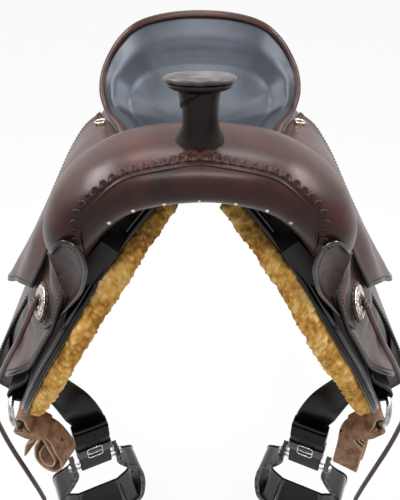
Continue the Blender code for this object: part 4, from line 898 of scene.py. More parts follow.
def forkShell(name, angles, finish):
    rings = []
    for section in sections:
        ring = [forkPoint(section, a) for a in angles]
        ring += [forkPoint(section, a, fork["thickness"]) for a in angles[::-4]]
        rings.append([p if abs(p.x) < fork["barsFrom"] else liftOff(p, fork["overBars"]) for p in ring])
    return loft(name, rings, finish)


def scallopStamp():
    # A pressed shell: a half round with ridges fanning from its foot
    count, rings = 13, (0.0, 0.35, 0.62, 0.78, 0.88, 0.96, 1.0)
    points, faces = [], []
    for level in (1, 0):
        for r in rings:
            for k in range(count):
                t = math.pi * k / (count - 1)
                ridge = 0.5 + 0.5 * math.cos(k * math.pi)
                high = (0.03 + 0.12 * ridge * r + 0.17 * hump(r, 0.86, 0.13)) * (1 - r**8 * 0.9)
                points.append(Vector((math.cos(t) * r, math.sin(t) * r * 1.6, high if level else -0.14)))
    under, last = len(rings) * count, (len(rings) - 1) * count
    for i in range(len(rings) - 1):
        for a in range(i * count, i * count + count - 1):
            b = a + count
            faces.append((a, b, b + 1, a + 1))
            faces.append((under + a, under + a + 1, under + b + 1, under + b))
    edge = [last + k for k in range(count)] + [i * count + count - 1 for i in range(len(rings) - 2, -1, -1)]
    edge += [i * count for i in range(1, len(rings) - 1)]
    faces += [(a, b, under + b, under + a) for a, b in zip(edge, edge[1:] + edge[:1])]
    made = meshPiece("scallopStamp", points, faces, brownLeather)
    editMesh(made.data, merge=0.0001)
    return made


def addFork():
    wrap, seam = math.radians(fork["wrapAngle"]), math.radians(fork["seam"])
    angles = spread(-wrap, wrap, fork["round"])
    cover = forkShell("forkLeather", angles, carvedLeather)
    lining = spread(wrap + seam, 2 * math.pi - wrap - seam, 17)
    lining = forkShell("gulletLining_leather", lining, darkLeather)
    # How far each point is from the border, to one side or the other, as a share from 0 to 1
    border = [-fork["borderEnd"] + 2 * fork["borderEnd"] * i / 240 for i in range(241)]
    tree = nearestIn([forkPlace(along, borderAngle(along)) for along in border])
    perRing = len(angles) + len(angles[::-4])
    reach = fork["borderReach"]
    marks = []
    for i, vertex in enumerate(cover.data.vertices):
        section, k = divmod(i, perRing)
        away = reach
        if section < len(sections) and k < len(angles):
            away = min(reach, tree.find(vertex.co)[2])
            if math.degrees(angles[k]) < borderAngle(2 * section / (len(sections) - 1) - 1):
                away = -away
        marks.append(1 - (away + reach) / (2 * reach))
    markPoints(cover.data, "edge", marks)
    roughen(cover, *fork["uneven"])
    fit(cover, "saddle", "brown_leather", "fork_cover")
    fit(lining, "saddle", "dark_leather", "gullet_lining")


def addBorder():
    # Scallops stand on the border's outer side, with larger shells below the horn
    spots, carried, before = [], fork["scallopPitch"] / 2, None
    for i in range(1601):
        along = fork["scallopEnd"] * i / 1600
        place = forkPlace(along, borderAngle(along))
        carried += (place - before).length if before else 0.0
        before = place
        if carried < fork["scallopPitch"]:
            continue
        carried = 0.0
        for way in (1, -1):
            here, up, _ = forkFrame(way * along, borderAngle(along))
            ahead, behind = (forkPlace(way * at, borderAngle(at)) for at in (along + 0.01, along - 0.01))
            out = up.cross((ahead - behind).normalized() * way)
            if out.dot(Vector((here.x, 0, here.z - 0.02))) < 0:
                out = -out
            growth = fork["shellGrowth"] * hump(along, 0, fork["shellReach"])
            size = fork["scallopSize"] * (1.0 + growth)
            spots.append((here + out * fork["scallopOut"], up, out.cross(up), size))
    ridgeAndShadeCords = []
    # The ridge cord, and near-black cords beside it that paint the grooves' shade
    for number, (turn, radius, finish) in enumerate(fork["lines"]):
        ways = spread(-fork["scallopEnd"], fork["scallopEnd"], 161)
        line = [forkPlace(along, borderAngle(along) - turn) for along in ways]
        ridgeAndShadeCords.append(tube(f"forkLine_{number}", line, radius, finish, count=8))
    fit(joinPieces("forkLine_leather", ridgeAndShadeCords), "saddle", "brown_leather")
    stampAll("forkScallops", spots, scallopStamp(), "saddle", "brown_leather")

    # Domed tack heads along the gullet's lip
    tacks = [(*forkFrame(along, -fork["tackAngle"]), 1.0)
             for along in spread(-fork["tackEnd"], fork["tackEnd"], fork["tacks"])]
    radius, height = fork["tackRadius"], fork["tackHeight"]
    dome = [(height * up, radius * wide) for up, wide in ((0.0, 1), (0.45, 0.90), (0.85, 0.55), (1, 0.15))]
    stamp = turned("tackStamp", (0, 0, 0), (0, 0, 1), dome, nickelSilver, 12)
    stampAll("gulletTacks", tacks, stamp, "saddle", "nickel_silver")


sections = forkSections()
addFork()
addBorder()
print("fork covered")


# Horn: leather strip wound round the neck, a lower edge and the cap
horn = {
    "foot": (0.0, -0.004, 0.116), "head": (0.0, -0.020, 0.1955), "capTilt": 12,
    # Share of the way up, and radius
    "wrap": ((0.20, 0.0292), (0.27, 0.0272), (0.34, 0.0245), (0.48, 0.0190), (0.62, 0.0166), (0.78, 0.0166),
             (0.92, 0.0176), (1.00, 0.0186)),
    "ply": 0.0014, "turns": 1.35, "startTurn": 2.6, "uneven": (0.0005, 0.014, 5.0),
    # Height and radius of the lower edge and of the cap
    "edgeLift": 0.0004, "capLift": 0.0074, "capUneven": (0.0004, 0.012, 8.0),
    "edge": metres(((0, 17.6), (0.4, 20.5), (1.4, 23.8), (3, 26.6), (4.4, 28.1), (5.6, 28.6), (6.6, 28.2),
                    (7, 27.2))),
    "cap": metres(((0, 28.8), (0.4, 30.2), (1.4, 31.2), (2.6, 31.5), (3.8, 31.1), (4.8, 30), (5.6, 28),
                   (6, 23.5), (6.3, 15), (6.4, 6))),
    "seamHeight": 0.0128, "seamRadius": 0.0268, "seam": {"pitch": 0.0046, "length": 0.0032, "width": 0.0009},
}


def hornFrame(t):
    foot, head = Vector(horn["foot"]), Vector(horn["head"])
    tilt = math.radians(horn["capTilt"])
    axis, cap = (head - foot).normalized(), Vector((0.0, math.sin(tilt), math.cos(tilt)))
    normal = axis.lerp(cap, ease(0.0, 1.0, 0.55, 1.0, t)).normalized()
    side = Vector((1, 0, 0))
    return foot.lerp(head, t), side, normal.cross(side)


def addHorn():
    rings = []
    for t, radius, _ in smoothLine([(t, r, 0) for t, r in horn["wrap"]], 6):
        centre, side, up = hornFrame(t)
        ring = []
        for turn in roundTurns(72):
            # The strip's end shows as a step that winds up the neck
            lap = (turn - horn["startTurn"] - t * horn["turns"] * 2 * math.pi) / (2 * math.pi) % 1.0
            wide = radius + horn["ply"] * (lap - 0.5)
            ring.append(centre + wide * (math.cos(turn) * side + math.sin(turn) * up))
        rings.append(ring)
    wrap = loft("hornWrapping", rings, hornLeather, sharp=60)
    roughen(wrap, *horn["uneven"])
    fit(wrap, "saddle", "brown_leather", "horn_wrap")

    centre, side, up = hornFrame(1.0)
    axis = side.cross(up)
    if axis.z < 0:
        axis = -axis
    foot = centre + axis * horn["edgeLift"]
    edge = turned("hornEdge", foot, axis, horn["edge"], darkLeather, 64)
    fit(edge, "saddle", "dark_leather", "horn_cap_edge")
    cap = turned("hornCapLeather", foot + axis * horn["capLift"], axis, horn["cap"], wornLeather, 72)
    roughen(cap, *horn["capUneven"])
    fit(cap, "saddle", "brown_leather", "horn_cap")
    centre = foot + axis * horn["seamHeight"]
    ring = [centre + (math.cos(t) * side + math.sin(t) * up) * horn["seamRadius"]
            for t in spread(0, 2 * math.pi, 97)]
    sew("hornCapStitches", [ring], "saddle", "brown_leather", **horn["seam"])


addHorn()
print("horn wrapped")


# Seat: black leather over foam in a dished bowl, with a rolled binding round the cantle
seat = {
    "rim": metres((
        (0, 50, 108), (38, 54, 104), (68, 82, 88), (80, 124, 74), (90, 170, 65), (105.4, 240, 51.3),
        (133, 310, 41), (145.5, 342, 52), (147, 364, 70), (140.5, 382, 89), (121.4, 393, 116.7),
        (93.2, 398, 138.4), (52.3, 400, 150), (0, 400, 154),
    )),
    "perSpan": 6, "centre": (0.0, 0.235, 0.047), "dish": 2.4, "thickness": 0.0125, "roll": 0.0055,
    "rollAt": 0.875, "rollReach": 0.07, "channel": 0.0022, "channelAt": 0.735, "channelReach": 0.022,
    # Depth below the rim and distance past it, round the cushion's edge
    "lip": metres(((0.6, -1.2), (1.8, -0.2), (3.6, 0.6), (5.8, 0.6), (8, -0.4), (9.8, -2))),
    "uneven": ((0.0009, 0.050, 11.0), (0.0003, 0.014, 12.0)), "fill": 0.7,
    # The rings of its top and of its underside, as shares of the way out to the rim
    "rings": (0.05, 0.975, 38), "underRings": (0.94, 0.80, 0.60, 0.30),
}
binding = {
    "halfWidth": 0.0075, "halfHeight": 0.0105, "clear": -0.0045, "sink": 0.0025, "spans": 10,
    "beside": 0.0144, "below": -0.006, "seamHalfGap": 0.0032,
    "seam": {"pitch": 0.0052, "length": 0.0038, "width": 0.0010},
}
cantle = {
    "spans": 7, "depth": 0.0376, "thickness": 0.0035, "band": (0.70, 0.985, 14), "facing": (0, 0.7, -0.7),
}


def seatTop(rimPoint, r):
    centre = Vector(seat["centre"])
    flat = centre.lerp(rimPoint, r)
    return Vector((flat.x, flat.y, centre.z + (rimPoint.z - centre.z) * r ** seat["dish"]))


def seatFrame(rim, k, r):
    # A point of the seat's top, with the directions out to the rim and up
    here = seatTop(rim[k], r)
    r = max(r, 0.08)
    outward = (seatTop(rim[k], r + 0.02) - seatTop(rim[k], r - 0.02)).normalized()
    along = (seatTop(rim[(k + 1) % len(rim)], r) - seatTop(rim[k - 1], r)).normalized()
    up = outward.cross(along).normalized()
    return here, outward, up if up.z > 0 else -up


def addSeat():
    half = [Vector(p) for p in seat["rim"]]
    rim = smoothLoop(half + [mirrored(p, -1) for p in half[-2:0:-1]], seat["perSpan"])

    def seatRing(r, below, beyond=0.0):
        found = [seatFrame(rim, k, r) for k in range(len(rim))]
        return [here - below * up + beyond * outward for here, outward, up in found]

    rings = []
    for r in spread(*seat["rings"]):
        roll = seat["roll"] * hump(r, seat["rollAt"], seat["rollReach"])
        # A shallow channel inside the rolled rim, where the foam is stitched down
        rings.append(seatRing(r, seat["channel"] * hump(r, seat["channelAt"], seat["channelReach"]) - roll))
    rings += [seatRing(1.0, below, beyond) for below, beyond in seat["lip"]]
    rings += [seatRing(r, seat["thickness"]) for r in seat["underRings"]]
    pad = loft("seatCushion", rings, seatLeather, sharp=80)
    for waves in seat["uneven"]:
        roughen(pad, *waves)
    fit(pad, "saddle", "black_leather", "seat_pad")

    middle = 13 * seat["perSpan"]
    reach = binding["spans"] * seat["perSpan"]
    wide, high = binding["halfWidth"], binding["halfHeight"]
    rings, seams = [], [[], []]
    for k in range(middle - reach, middle + reach + 1):
        here, outward, up = seatFrame(rim, k, 1.0)
        centre = here + outward * (wide + binding["clear"]) - up * (high - binding["sink"])
        end = min(k - middle + reach, middle + reach - k) / 4
        size = 0.35 + 0.65 * math.sin(min(1.0, end) * math.pi / 2)
        rings.append([centre + outward * squared(math.cos(t), 0.8) * wide * size
                      + up * squared(math.sin(t), 0.8) * high * size for t in roundTurns(20)])
        if end >= 1:
            for seam, way in zip(seams, (-1, 1)):
                seam.append(centre + up * high * 0.97 + outward * way * binding["seamHalfGap"])
    roll = loft("cantleBinding_leather", rings, brownLeather, sharp=80)
    fit(roll, "saddle", "brown_leather", "cantle_binding")
    sew("bindingStitches", seams, "saddle", "brown_leather", **binding["seam"])

    grid = []
    reach = cantle["spans"] * seat["perSpan"]
    for k in range(middle - reach, middle + reach + 1):
        found = [seatFrame(rim, k, r) for r in spread(*cantle["band"])]
        grid.append([here - cantle["depth"] * up for here, _, up in found])
    back, _ = leatherSheet("cantleBack_leather", grid, cantle["thickness"], brownLeather, cantle["facing"])
    fit(back, "saddle", "brown_leather", "cantle_back")


addSeat()
print("seat padded")


# Jockeys: the brown leather panels over the skirts, below the seat, the fork and the cantle
jockeys = {
    "thickness": 0.0045, "barOuter": 0.0273, "layerGap": 0.0007, "skirt": 0.005,
    # Lines down the seat jockey's face, each with its place along the saddle
    "seatLines": metres((
        (65, ((128, 66), (151, 34), (176, -22), (205, -78))),
        (83, ((132, 68), (160, 36), (197, -25), (232, -98))),
        (120, ((134, 63), (164, 30), (208, -40), (251, -125))),
        (165, ((140, 55), (173, 22), (211.4, -47.5), (281, -160))),
        (210, ((147, 46), (177, 12), (222, -72), (279, -168))),
        (260, ((157, 35), (184, 2), (224, -70), (270, -148))),
        (305, ((169, 26), (191, -4), (220, -58), (254, -112))),
        (345, ((180, 26), (196, 0), (214, -34), (234, -70))),
    )),
    "frontLift": metres(((85, 25), (150, 18), (192, 12.5), (250, 12.5), (345, 28))),
    "rearLift": metres(((85, 47.5), (130, 44), (190, 16), (250, 16), (345, 38))),
    # Place down the side, then the front jockey's front and rear edges there
    "frontEdges": metres((
        (86, -10, 20), (100, -22, 45), (125, -33, 74), (165, -41, 90), (210, -42, 90), (255, -34, 80),
        (300, -14, 67), (330, 8, 60), (345, 26, 50),
    )),
    # How far the front jockey stands away behind the concho, where it meets the seat jockey
    "flare": metres(((110, 0), (150, 14), (190, 30), (225, 30), (270, 13), (310, 0))),
    "liftAlong": (-0.050, -0.004), "flareAlong": (-0.030, 0.075),
    # Where the seat jockey ends along the saddle, by share of the way down it
    "seatRear": ((0.0, 0.312), (0.125, 0.300), (0.25, 0.284), (0.375, 0.270), (0.50, 0.260), (0.625, 0.252),
                 (0.75, 0.244), (0.875, 0.233), (1.0, 0.216)),
    "seatRows": 46, "seatUneven": (0.0010, 0.05, 20.0), "tuck": 0.015, "topFrom": 0.085,
    "rearFront": 0.294, "rearWidest": 0.385, "rearEnd": 0.514, "rearRise": 0.092,
    "rearRows": 60, "rearColumns": 34, "rearInset": 0.004, "rearFoot": (0.075, 0.205),
    # Between two places: where its top edge lies, where it comes off the bar, and its lip at the rear
    "rearTop": (0.150, 0.012, 0.352, 0.412), "offBar": (0.150, 0.215), "lipAlong": (0.461, 0.482),
    "lip": 0.003,
}
seatRearCurve = knotCurve(jockeys["seatRear"])


def besideBinding(y):
    half = smoothLine(seat["rim"], 4)
    for a, b in zip(half, half[1:]):
        if a.y <= y <= b.y:
            return a.lerp(b, (y - a.y) / (b.y - a.y)) + Vector((binding["beside"], 0, binding["below"]))
    return half[-1]


def seatJockeyColumns(down, back):
    lines = []
    for y, line in jockeys["seatLines"]:
        top = besideBinding(max(y, jockeys["topFrom"]))
        # The front edge tucks in behind the fork's leg
        tuck = 0.0 if lines else jockeys["tuck"]
        points = [(x, y - ease(tuck, 0.0, -0.010, 0.040, z), z) for x, z in line]
        lines.append(smoothLine([(top.x, y, top.z)] + points, down))
    return [smoothLine(column, back) for column in zip(*lines)]


def seatJockeyGrid():
    # The surface from its front edge back to a rear edge that slants under the seat
    columns = seatJockeyColumns(9, 8)
    cut = []
    for k, column in enumerate(columns):
        rear = alongCurve(seatRearCurve, k / (len(columns) - 1))
        kept = [p for p in column if p.y < rear - 0.0005]
        a, b = column[len(kept) - 1], column[len(kept)]
        kept.append(a.lerp(b, (rear - a.y) / (b.y - a.y)))
        cut.append(evenLine(kept, lineLength(kept) / jockeys["seatRows"]))
    return [[line[j] for line in cut] for j in range(jockeys["seatRows"] + 1)]


def frontJockeyPoint(y, s):
    front, rear, flare = (valueThrough(jockeys[name], s) for name in ("frontLift", "rearLift", "flare"))
    flare *= ease(0.0, 1.0, *jockeys["flareAlong"], y)
    return onSide(y, s, ease(front, rear, *jockeys["liftAlong"], y) + flare)


def frontJockeyGrid():
    edges = smoothLine(jockeys["frontEdges"], 7)
    return [[frontJockeyPoint(y, s) for y in spread(front, rear, 31)] for s, front, rear in edges]


def rearJockeyGrid():
    grid = []
    over = jockeys["barOuter"] + 2 * jockeys["layerGap"]
    under = jockeys["skirt"] + jockeys["layerGap"]
    front, widest, rear = jockeys["rearFront"], jockeys["rearWidest"], jockeys["rearEnd"]
    least, deep = jockeys["rearFoot"]
    for t in spread(0.0, 1.0, jockeys["rearRows"]):
        y = front + (rear - jockeys["rearInset"] - front) * (1 - (1 - t) ** 1.35)
        reach = max(0.0, y - widest) / (rear - widest)
        ahead = max(0.0, widest - y) / (widest - front)
        bottom = least + deep * math.sqrt(max(0.0, 1 - reach**2)) - jockeys["rearRise"] * ahead**1.6
        downs = spread(ease(*jockeys["rearTop"], y), bottom, jockeys["rearColumns"])
        lifts = [ease(over, under, *jockeys["offBar"], s) for s in downs]
        lifts = [ease(lift, under + jockeys["lip"], *jockeys["lipAlong"], y) for lift in lifts]
        grid.append([onSide(y, s, lift) for s, lift in zip(downs, lifts)])
    return grid


def addJockeys():
    # Each panel's grid, the edges that are sewn, and how far the seam lies inside and above them
    panels = {
        "seat": (seatJockeyGrid(), ("lastColumn", "lastRow"), 0.0045, 0.0006),
        "front": (frontJockeyGrid(), ("lastColumn", "firstColumn", "lastRow"), 0.0048, 0.0005),
        "rear": (rearJockeyGrid(), ("lastColumn",), 0.0048, 0.0005),
    }
    thick = jockeys["thickness"]
    for end, side in sides.items():
        for name, (grid, edges, inset, lift) in panels.items():
            made, rim = leatherSheet(f"{name}Jockey_{end}", mirrorGrid(grid, side), thick, tooledLeather)
            if name == "seat":
                roughen(made, *jockeys["seatUneven"])
            fit(made, "saddle", "brown_leather", f"{name}_jockey_{end}")
            seam = f"{name}JockeyStitches_{end}"
            sewRim(seam, rim, edges, inset, thick + lift, "saddle", "brown_leather")


addJockeys()

# The ear: a lobe of the front jockey that turns out round the fork's foot, corded along its edge
ear = {
    "outer": metres((
        (140.5, -53.1, 54.4), (133.9, -56.5, 62.6), (125.8, -59.9, 68.4), (115.1, -63.9, 66.6),
        (109.5, -65.3, 58.6), (107.2, -65, 46.6), (107.6, -63.2, 33.3), (112.8, -59.8, 14.5),
        (119.4, -55.7, -2), (132.9, -47.5, -24), (150.7, -38.6, -49.1), (174.1, -26.8, -78.3),
    )),
    "inner": metres((
        (145.9, -44.8, 43.5), (146.2, -42.2, 31.9), (145.8, -38.9, 19.4), (146.1, -33.4, 4.6),
        (142.8, -35.4, -4.3), (140.6, -36.9, -12.5), (142.1, -36.4, -22.6), (149, -33.1, -36.7),
        (158.5, -28.4, -51.1), (168.5, -23.5, -66.1), (173.7, -23, -76),
    )),
    "thickness": 0.0035, "dish": 0.0060, "rows": 46, "columns": 22, "back": (-0.54, 1, -0.03),
    "cord": 0.0019, "cordInset": 0.0002, "cordLift": 0.002, "cordStep": 0.003,
    "uneven": (0.0008, 0.02, 25.0), "seamInset": 0.0055, "seam": {"pitch": 0.0040, "length": 0.0026},
}


def addEars():
    for end, side in sides.items():
        lines = []
        for name in ("inner", "outer"):
            line = smoothLine([mirrored(p, side) for p in ear[name]], 6)
            lines.append(evenLine(line, lineLength(line) / ear["rows"])[: ear["rows"]])
        back = mirrored(ear["back"], side).normalized()
        grid = []
        for i, (a, b) in enumerate(zip(*lines)):
            hollow = back * ear["dish"] * math.sin(math.pi * i / (ear["rows"] - 1)) ** 0.7
            grid.append([a.lerp(b, t) + hollow * math.sin(math.pi * t**0.8)
                         for t in spread(0, 1, ear["columns"])])
        made, rim = leatherSheet(f"frontEar_{end}", grid, ear["thickness"], brownLeather, -back)
        roughen(made, *ear["uneven"])
        fit(made, "saddle", "brown_leather")
        foot, edge = (rimLine(rim[name], ear["cordInset"], ear["cordLift"])
                      for name in ("firstRow", "lastColumn"))
        edge = evenLine(foot[4:] + edge[1:], ear["cordStep"])
        cord = tube(f"earCord_{end}", edge, ear["cord"], glazedLeather)
        fit(cord, "saddle", "dark_leather")
        lift = ear["thickness"] + 0.0004
        seam = f"earStitches_{end}"
        sewRim(seam, rim, ["lastColumn"], ear["seamInset"], lift, "saddle", "brown_leather", **ear["seam"])


addEars()
print("jockeys laid")


# Skirts and fleece
skirts = {
    "front": -0.062, "rear": 0.525, "cornerRear": 0.125, "thickness": 0.005, "rollInset": 0.001,
    "rollLift": 0.002, "rollRadius": 0.0030, "beadInset": 0.0040, "beadRadius": 0.0027, "rollStep": 0.006,
    # How far down it starts and ends, from one value to another between two places along it
    "top": ((0.0, 0.050, 0.0, 0.11), (0.0, -0.038, 0.37, 0.43)), "drop": (0.440, 0.335, 0.04, 0.42),
    # Lengths over which its stations are counted: near the front edge, between, and at the rear corner
    "frontLength": 0.10, "stations": (0.14, 0.36, 0.17),
    # How far behind its front edge the skirt starts, by place down its arc, and how far back that fades
    "setBack": metres(((0, 84), (35, 74), (75, 60), (105, 43), (130, 26), (155, 12), (190, 0))),
    "setBackLength": 0.110,
    # How far down the foot of the skirt lies, behind its front edge
    "foot": metres(((0, 262), (4, 290), (12, 318), (32, 348), (52, 372), (82, 402), (112, 422), (162, 434),
                    (200, 440))),
    "edges": ("firstRow", "lastColumn", "lastRow"), "seamInset": 0.0095,
}
fleece = {
    "thickness": 0.0235, "inset": 0.0035, "under": 0.0014, "thinning": (0.62, 0.16, 0.40),
    "topShare": 0.72, "topReach": 0.06, "rolls": 10, "bulge": 0.25,
    # Heights of the curls, the tufts and the fine fibre, and how many of each lie in a metre
    "curl": (0.0042, 130), "tuft": (0.0030, 30), "fibre": (0.0016, 420), "swirl": (0.006, 120), "seed": 7,
}
skirtFoot = knotCurve(skirts["foot"])
skirtSetBack = knotCurve(skirts["setBack"])


def skirtDrop(y, inset=0.0):
    front, rear, corner = skirts["front"] + inset, skirts["rear"] - inset, skirts["cornerRear"]
    drop = min(ease(*skirts["drop"], y), alongCurve(skirtFoot, y - front)) - inset
    reach = max(0.0, (corner - (rear - y)) / corner)
    return drop - corner * (1 - math.sqrt(max(0.0, 1 - reach * reach)))


def skirtTop(y):
    return sum(ease(*form, y) for form in skirts["top"])


def skirtGrid(inset, standOff, step, columns):
    # Stations lie closer together towards the front edge and the rear corner
    front, rear = skirts["front"] + inset, skirts["rear"] - inset
    near, corner = skirts["frontLength"], skirts["cornerRear"]
    first, middle, last = (round(length / step) for length in skirts["stations"])
    stations = [front + near * (1 - math.cos(t)) for t in spread(0, math.pi / 2, first)]
    stations += spread(front + near, rear - corner, middle)[1:-1]
    stations += [rear - corner * (1 - math.cos(t)) for t in spread(math.pi / 2, 0, last)]
    grid, places = [], []
    for y in stations:
        fade = max(0.0, 1 - (y - front) / skirts["setBackLength"])
        downs = spread(skirtTop(y) + inset, skirtDrop(y, inset), columns)
        grid.append([onSide(y + alongCurve(skirtSetBack, s) * fade, s, standOff) for s in downs])
        places += downs
    return grid, places


def addSkirts():
    thick, bead = skirts["thickness"], skirts["beadRadius"]
    for end, side in sides.items():
        grid, _ = skirtGrid(0.0, 0.0, 0.0055, 72)
        made, rim = leatherSheet(f"skirtLeather_{end}", mirrorGrid(grid, side), thick, darkLeather)
        fit(made, "saddle", "dark_leather", f"skirt_{end}")
        # Leather turned round a cord closes the edge, and a second layer's roll lies beside it outside
        rolls = (("Roll", skirts["rollInset"], skirts["rollLift"], 1, skirts["rollRadius"], 12),
                 ("Bead", skirts["beadInset"], thick + bead * 0.6, 0, bead, 10))
        for name, inset, lift, skip, radius, count in rolls:
            first, *others = [rimLine(rim[edge], inset, lift) for edge in skirts["edges"]]
            line = evenLine(first + [p for other in others for p in other[skip:]], skirts["rollStep"])
            roll = tube(f"skirt{name}_{end}", line, radius, glazedLeather, count=count)
            fit(roll, "saddle", "dark_leather")
        seam = f"skirtStitches_{end}"
        sewRim(seam, rim, skirts["edges"], skirts["seamInset"], thick + 0.0003, "saddle", "dark_leather")
        addFleece(end, side)


def addFleece(end, side):
    grid, places = skirtGrid(fleece["inset"], -fleece["under"], 0.0034, 118)
    least, start, stop = fleece["thinning"]
    plump = [ease(1.0, least, start, stop, s) * ease(fleece["topShare"], 1.0, 0.0, fleece["topReach"], s)
             for s in places]
    made, _ = leatherSheet(f"shearling_{end}", mirrorGrid(grid, side), fleece["thickness"], fleeceWool,
                           (-side, 0, -0.5), fleece["rolls"], fleece["bulge"], plump)
    (curlHigh, curls), (tuftHigh, tufts) = fleece["curl"], fleece["tuft"]
    (fibreHigh, fibres), (swirlWide, swirls) = fleece["fibre"], fleece["swirl"]
    noise.seed_set(fleece["seed"])
    pile = []

    def curled(i, place, normal):
        if i < len(places):
            pile.append(0.2)
            return place
        swirl = noise.noise_vector(place * swirls) * swirlWide
        lock = noise.voronoi((place + swirl) * curls, distance_metric="DISTANCE")[0]
        curl = min(1.0, lock[1] - lock[0])
        tuft = noise.noise(place * tufts + Vector((5, 1, 3)))
        # Colour follows the curl's height: painted shade down in the hollows, painted light on the crests
        pile.append(max(0.0, min(1.0, 0.25 + 0.9 * curl + 0.3 * tuft)))
        return place + normal * (curlHigh * curl + tuftHigh * tuft + fibreHigh * noise.noise(place * fibres))

    movePoints(made, curled)
    markPoints(made.data, "pile", pile)
    fit(made, "saddle", "sheepskin", f"fleece_{end}")


addSkirts()
print("skirts and fleece laid")


# Rigging: the panel that carries the front dee, the chape round the dee's bar, and the dee
rigging = {
    "front": -0.052, "rear": 0.150, "top": 0.165, "foot": 0.330, "belly": 0.102, "inset": 0.004,
    "thickness": 0.004, "panelOff": 0.00612, "seamInset": 0.0050,
    "deeY": 0.062, "deeS": 0.404, "standOff": 0.0270, "deeWidth": 0.074, "deeDrop": 0.062, "wire": 0.0040,
    "chapeWidth": 0.034, "chapeThickness": 0.0036,
    # The chape's line round the dee's bar: away from the horse, and down
    "chape": metres(((-16.5, -52), (-15, -38), (-7.5, -26), (1, -15), (6.2, -5), (6.4, 2), (2, 6.8),
                     (-6, 7.4), (-13, 6), (-16.5, 2))),
}


def deePivot():
    return onSide(rigging["deeY"], rigging["deeS"], rigging["standOff"])


def deePath(top):
    half = rigging["deeWidth"] / 2
    centre = Vector((0, 0, half - rigging["deeDrop"]))
    corner = math.asin((rigging["deeDrop"] - half) / half)
    bar = half * math.cos(corner) * 0.86
    points = [Vector((0, y, 0)) for y in spread(-bar, bar, 12)]
    points += [Vector((0, half * math.cos(t), half * math.sin(t))) + centre
               for t in spread(corner - 0.10, -math.pi - corner + 0.10, 40)]
    return [top + p for p in smoothLoop(points, 2)]


def strapLoft(name, path, acrosses, width, thickness, finish):
    # A flat strap with burnished edges; acrosses holds its crosswise direction at each point
    flat = [-1 + 2 * i / 8 for i in range(9)]
    shape = [(u, 1.0) for u in flat] + [(1.0, 0.55), (1.0, -0.55)]
    shape += [(-u, -1.0) for u in flat] + [(-1.0, -0.55), (-1.0, 0.55)]
    rings, marks = [], []
    for i, (place, across) in enumerate(zip(path, acrosses)):
        along = heading(path, i)
        across = (across - along * across.dot(along)).normalized()
        through = along.cross(across).normalized()
        ring = []
        for u, v in shape:
            wide = u * (width / 2 - (thickness * 0.35 if abs(v) == 1.0 else 0.0))
            ring.append(place + across * wide + through * v * thickness / 2)
            marks.append(max(0.0, 1 - (1 - abs(u)) * width / 2 / edgeReach))
        rings.append(ring)
    return markEdges(loft(name, rings, finish, sharp=70), marks)


def addRigging():
    middle, half = (rigging["front"] + rigging["rear"]) / 2, (rigging["rear"] - rigging["front"]) / 2
    grid = []
    for t in spread(-math.pi / 2, math.pi / 2, 46):
        y = middle + half * math.sin(t)
        belly = rigging["belly"] * math.sqrt(max(0.0, 1 - (abs(y - middle) / half) ** 2.4))
        bottom = min(skirtDrop(y, rigging["inset"]), rigging["foot"] + belly)
        grid.append([onSide(y, s, rigging["panelOff"]) for s in spread(rigging["top"], bottom, 44)])
    for end, side in sides.items():
        panel, rim = leatherSheet(f"panel_{end}", mirrorGrid(grid, side), rigging["thickness"], darkLeather)
        pivot = mirrored(deePivot(), side)
        _, down, out = [mirrored(v, side) for v in sideFrame(rigging["deeY"], rigging["deeS"])]
        line = smoothLine([pivot + out * a + down * b for a, b in rigging["chape"]], 4)
        acrosses = [Vector((0, 1, 0))] * len(line)
        width, thick = rigging["chapeWidth"], rigging["chapeThickness"]
        chape = strapLoft(f"chape_{end}", line, acrosses, width, thick, darkLeather)
        both = joinPieces(f"riggingPanel_{end}", [panel, chape])
        fit(both, "saddle", "dark_leather", f"rigging_panel_{end}")
        seam, lift = f"riggingStitches_{end}", rigging["thickness"] + 0.0004
        sewRim(seam, rim, skirts["edges"], rigging["seamInset"], lift, "saddle", "dark_leather")
        dee = tube(f"frontDee_{end}", deePath(pivot), rigging["wire"], stainless, cyclic=True, count=14)
        fit(dee, f"dee_{end}", "stainless_steel", f"front_dee_{end}")


addRigging()
print("rigging hung")


# Stirrup leathers, fenders and the gear above each stirrup
hang = {
    "y": 0.170, "barS": 0.105, "barOuter": 0.0273, "swingGap": 0.0009, "width": 0.060, "thickness": 0.0042,
    "line": metres(((202, -99), (235, -149), (266, -200), (288, -248), (295, -293), (287, -340), (266, -387),
                    (242, -424), (222, -458))),
    "overBar": (-0.042, -0.030, -0.012, 0.003, 0.018, 0.031, 0.044),
    "twist": 65, "twistTop": -0.388, "twistBottom": -0.505, "straight": (-0.530, -0.560, -0.590),
    "bolt": (0.205, 0.170, -0.618), "loop": 0.0092,
    "fenderTop": -0.060, "fenderBottom": -0.396, "fenderThickness": 0.0045, "layerGap": 0.0007,
    "fenderHalf": metres(((70, 33), (110, 50), (160, 76), (220, 95), (280, 90), (330, 70), (375, 42),
                          (400, 33))),
    "fenderSeam": (0.0045, 0.0004),
}
hobble = {
    "z": -0.570, "height": 0.020, "wall": 0.0026, "clear": 0.0012, "corner": 0.0030,
    "buckleHalfWidth": 0.014, "buckleHalfHeight": 0.0125, "buckleLift": 0.0018,
    "wire": 0.0014, "prong": 0.0011, "prongRise": 0.0012, "prongLift": 0.0006, "cornerShare": 0.90,
    "section": ((-0.5, -0.42), (-0.42, -0.5), (0.42, -0.5), (0.5, -0.42), (0.5, 0.42), (0.42, 0.5),
                (-0.42, 0.5), (-0.5, 0.42)),
}


def twistAt(z):
    # Crosswise direction of the leather, which turns from fore-and-aft to face the stirrup
    turn = ease(0.0, math.radians(hang["twist"]), hang["twistTop"], hang["twistBottom"], z)
    return Vector((math.sin(turn), -math.cos(turn), 0.0))


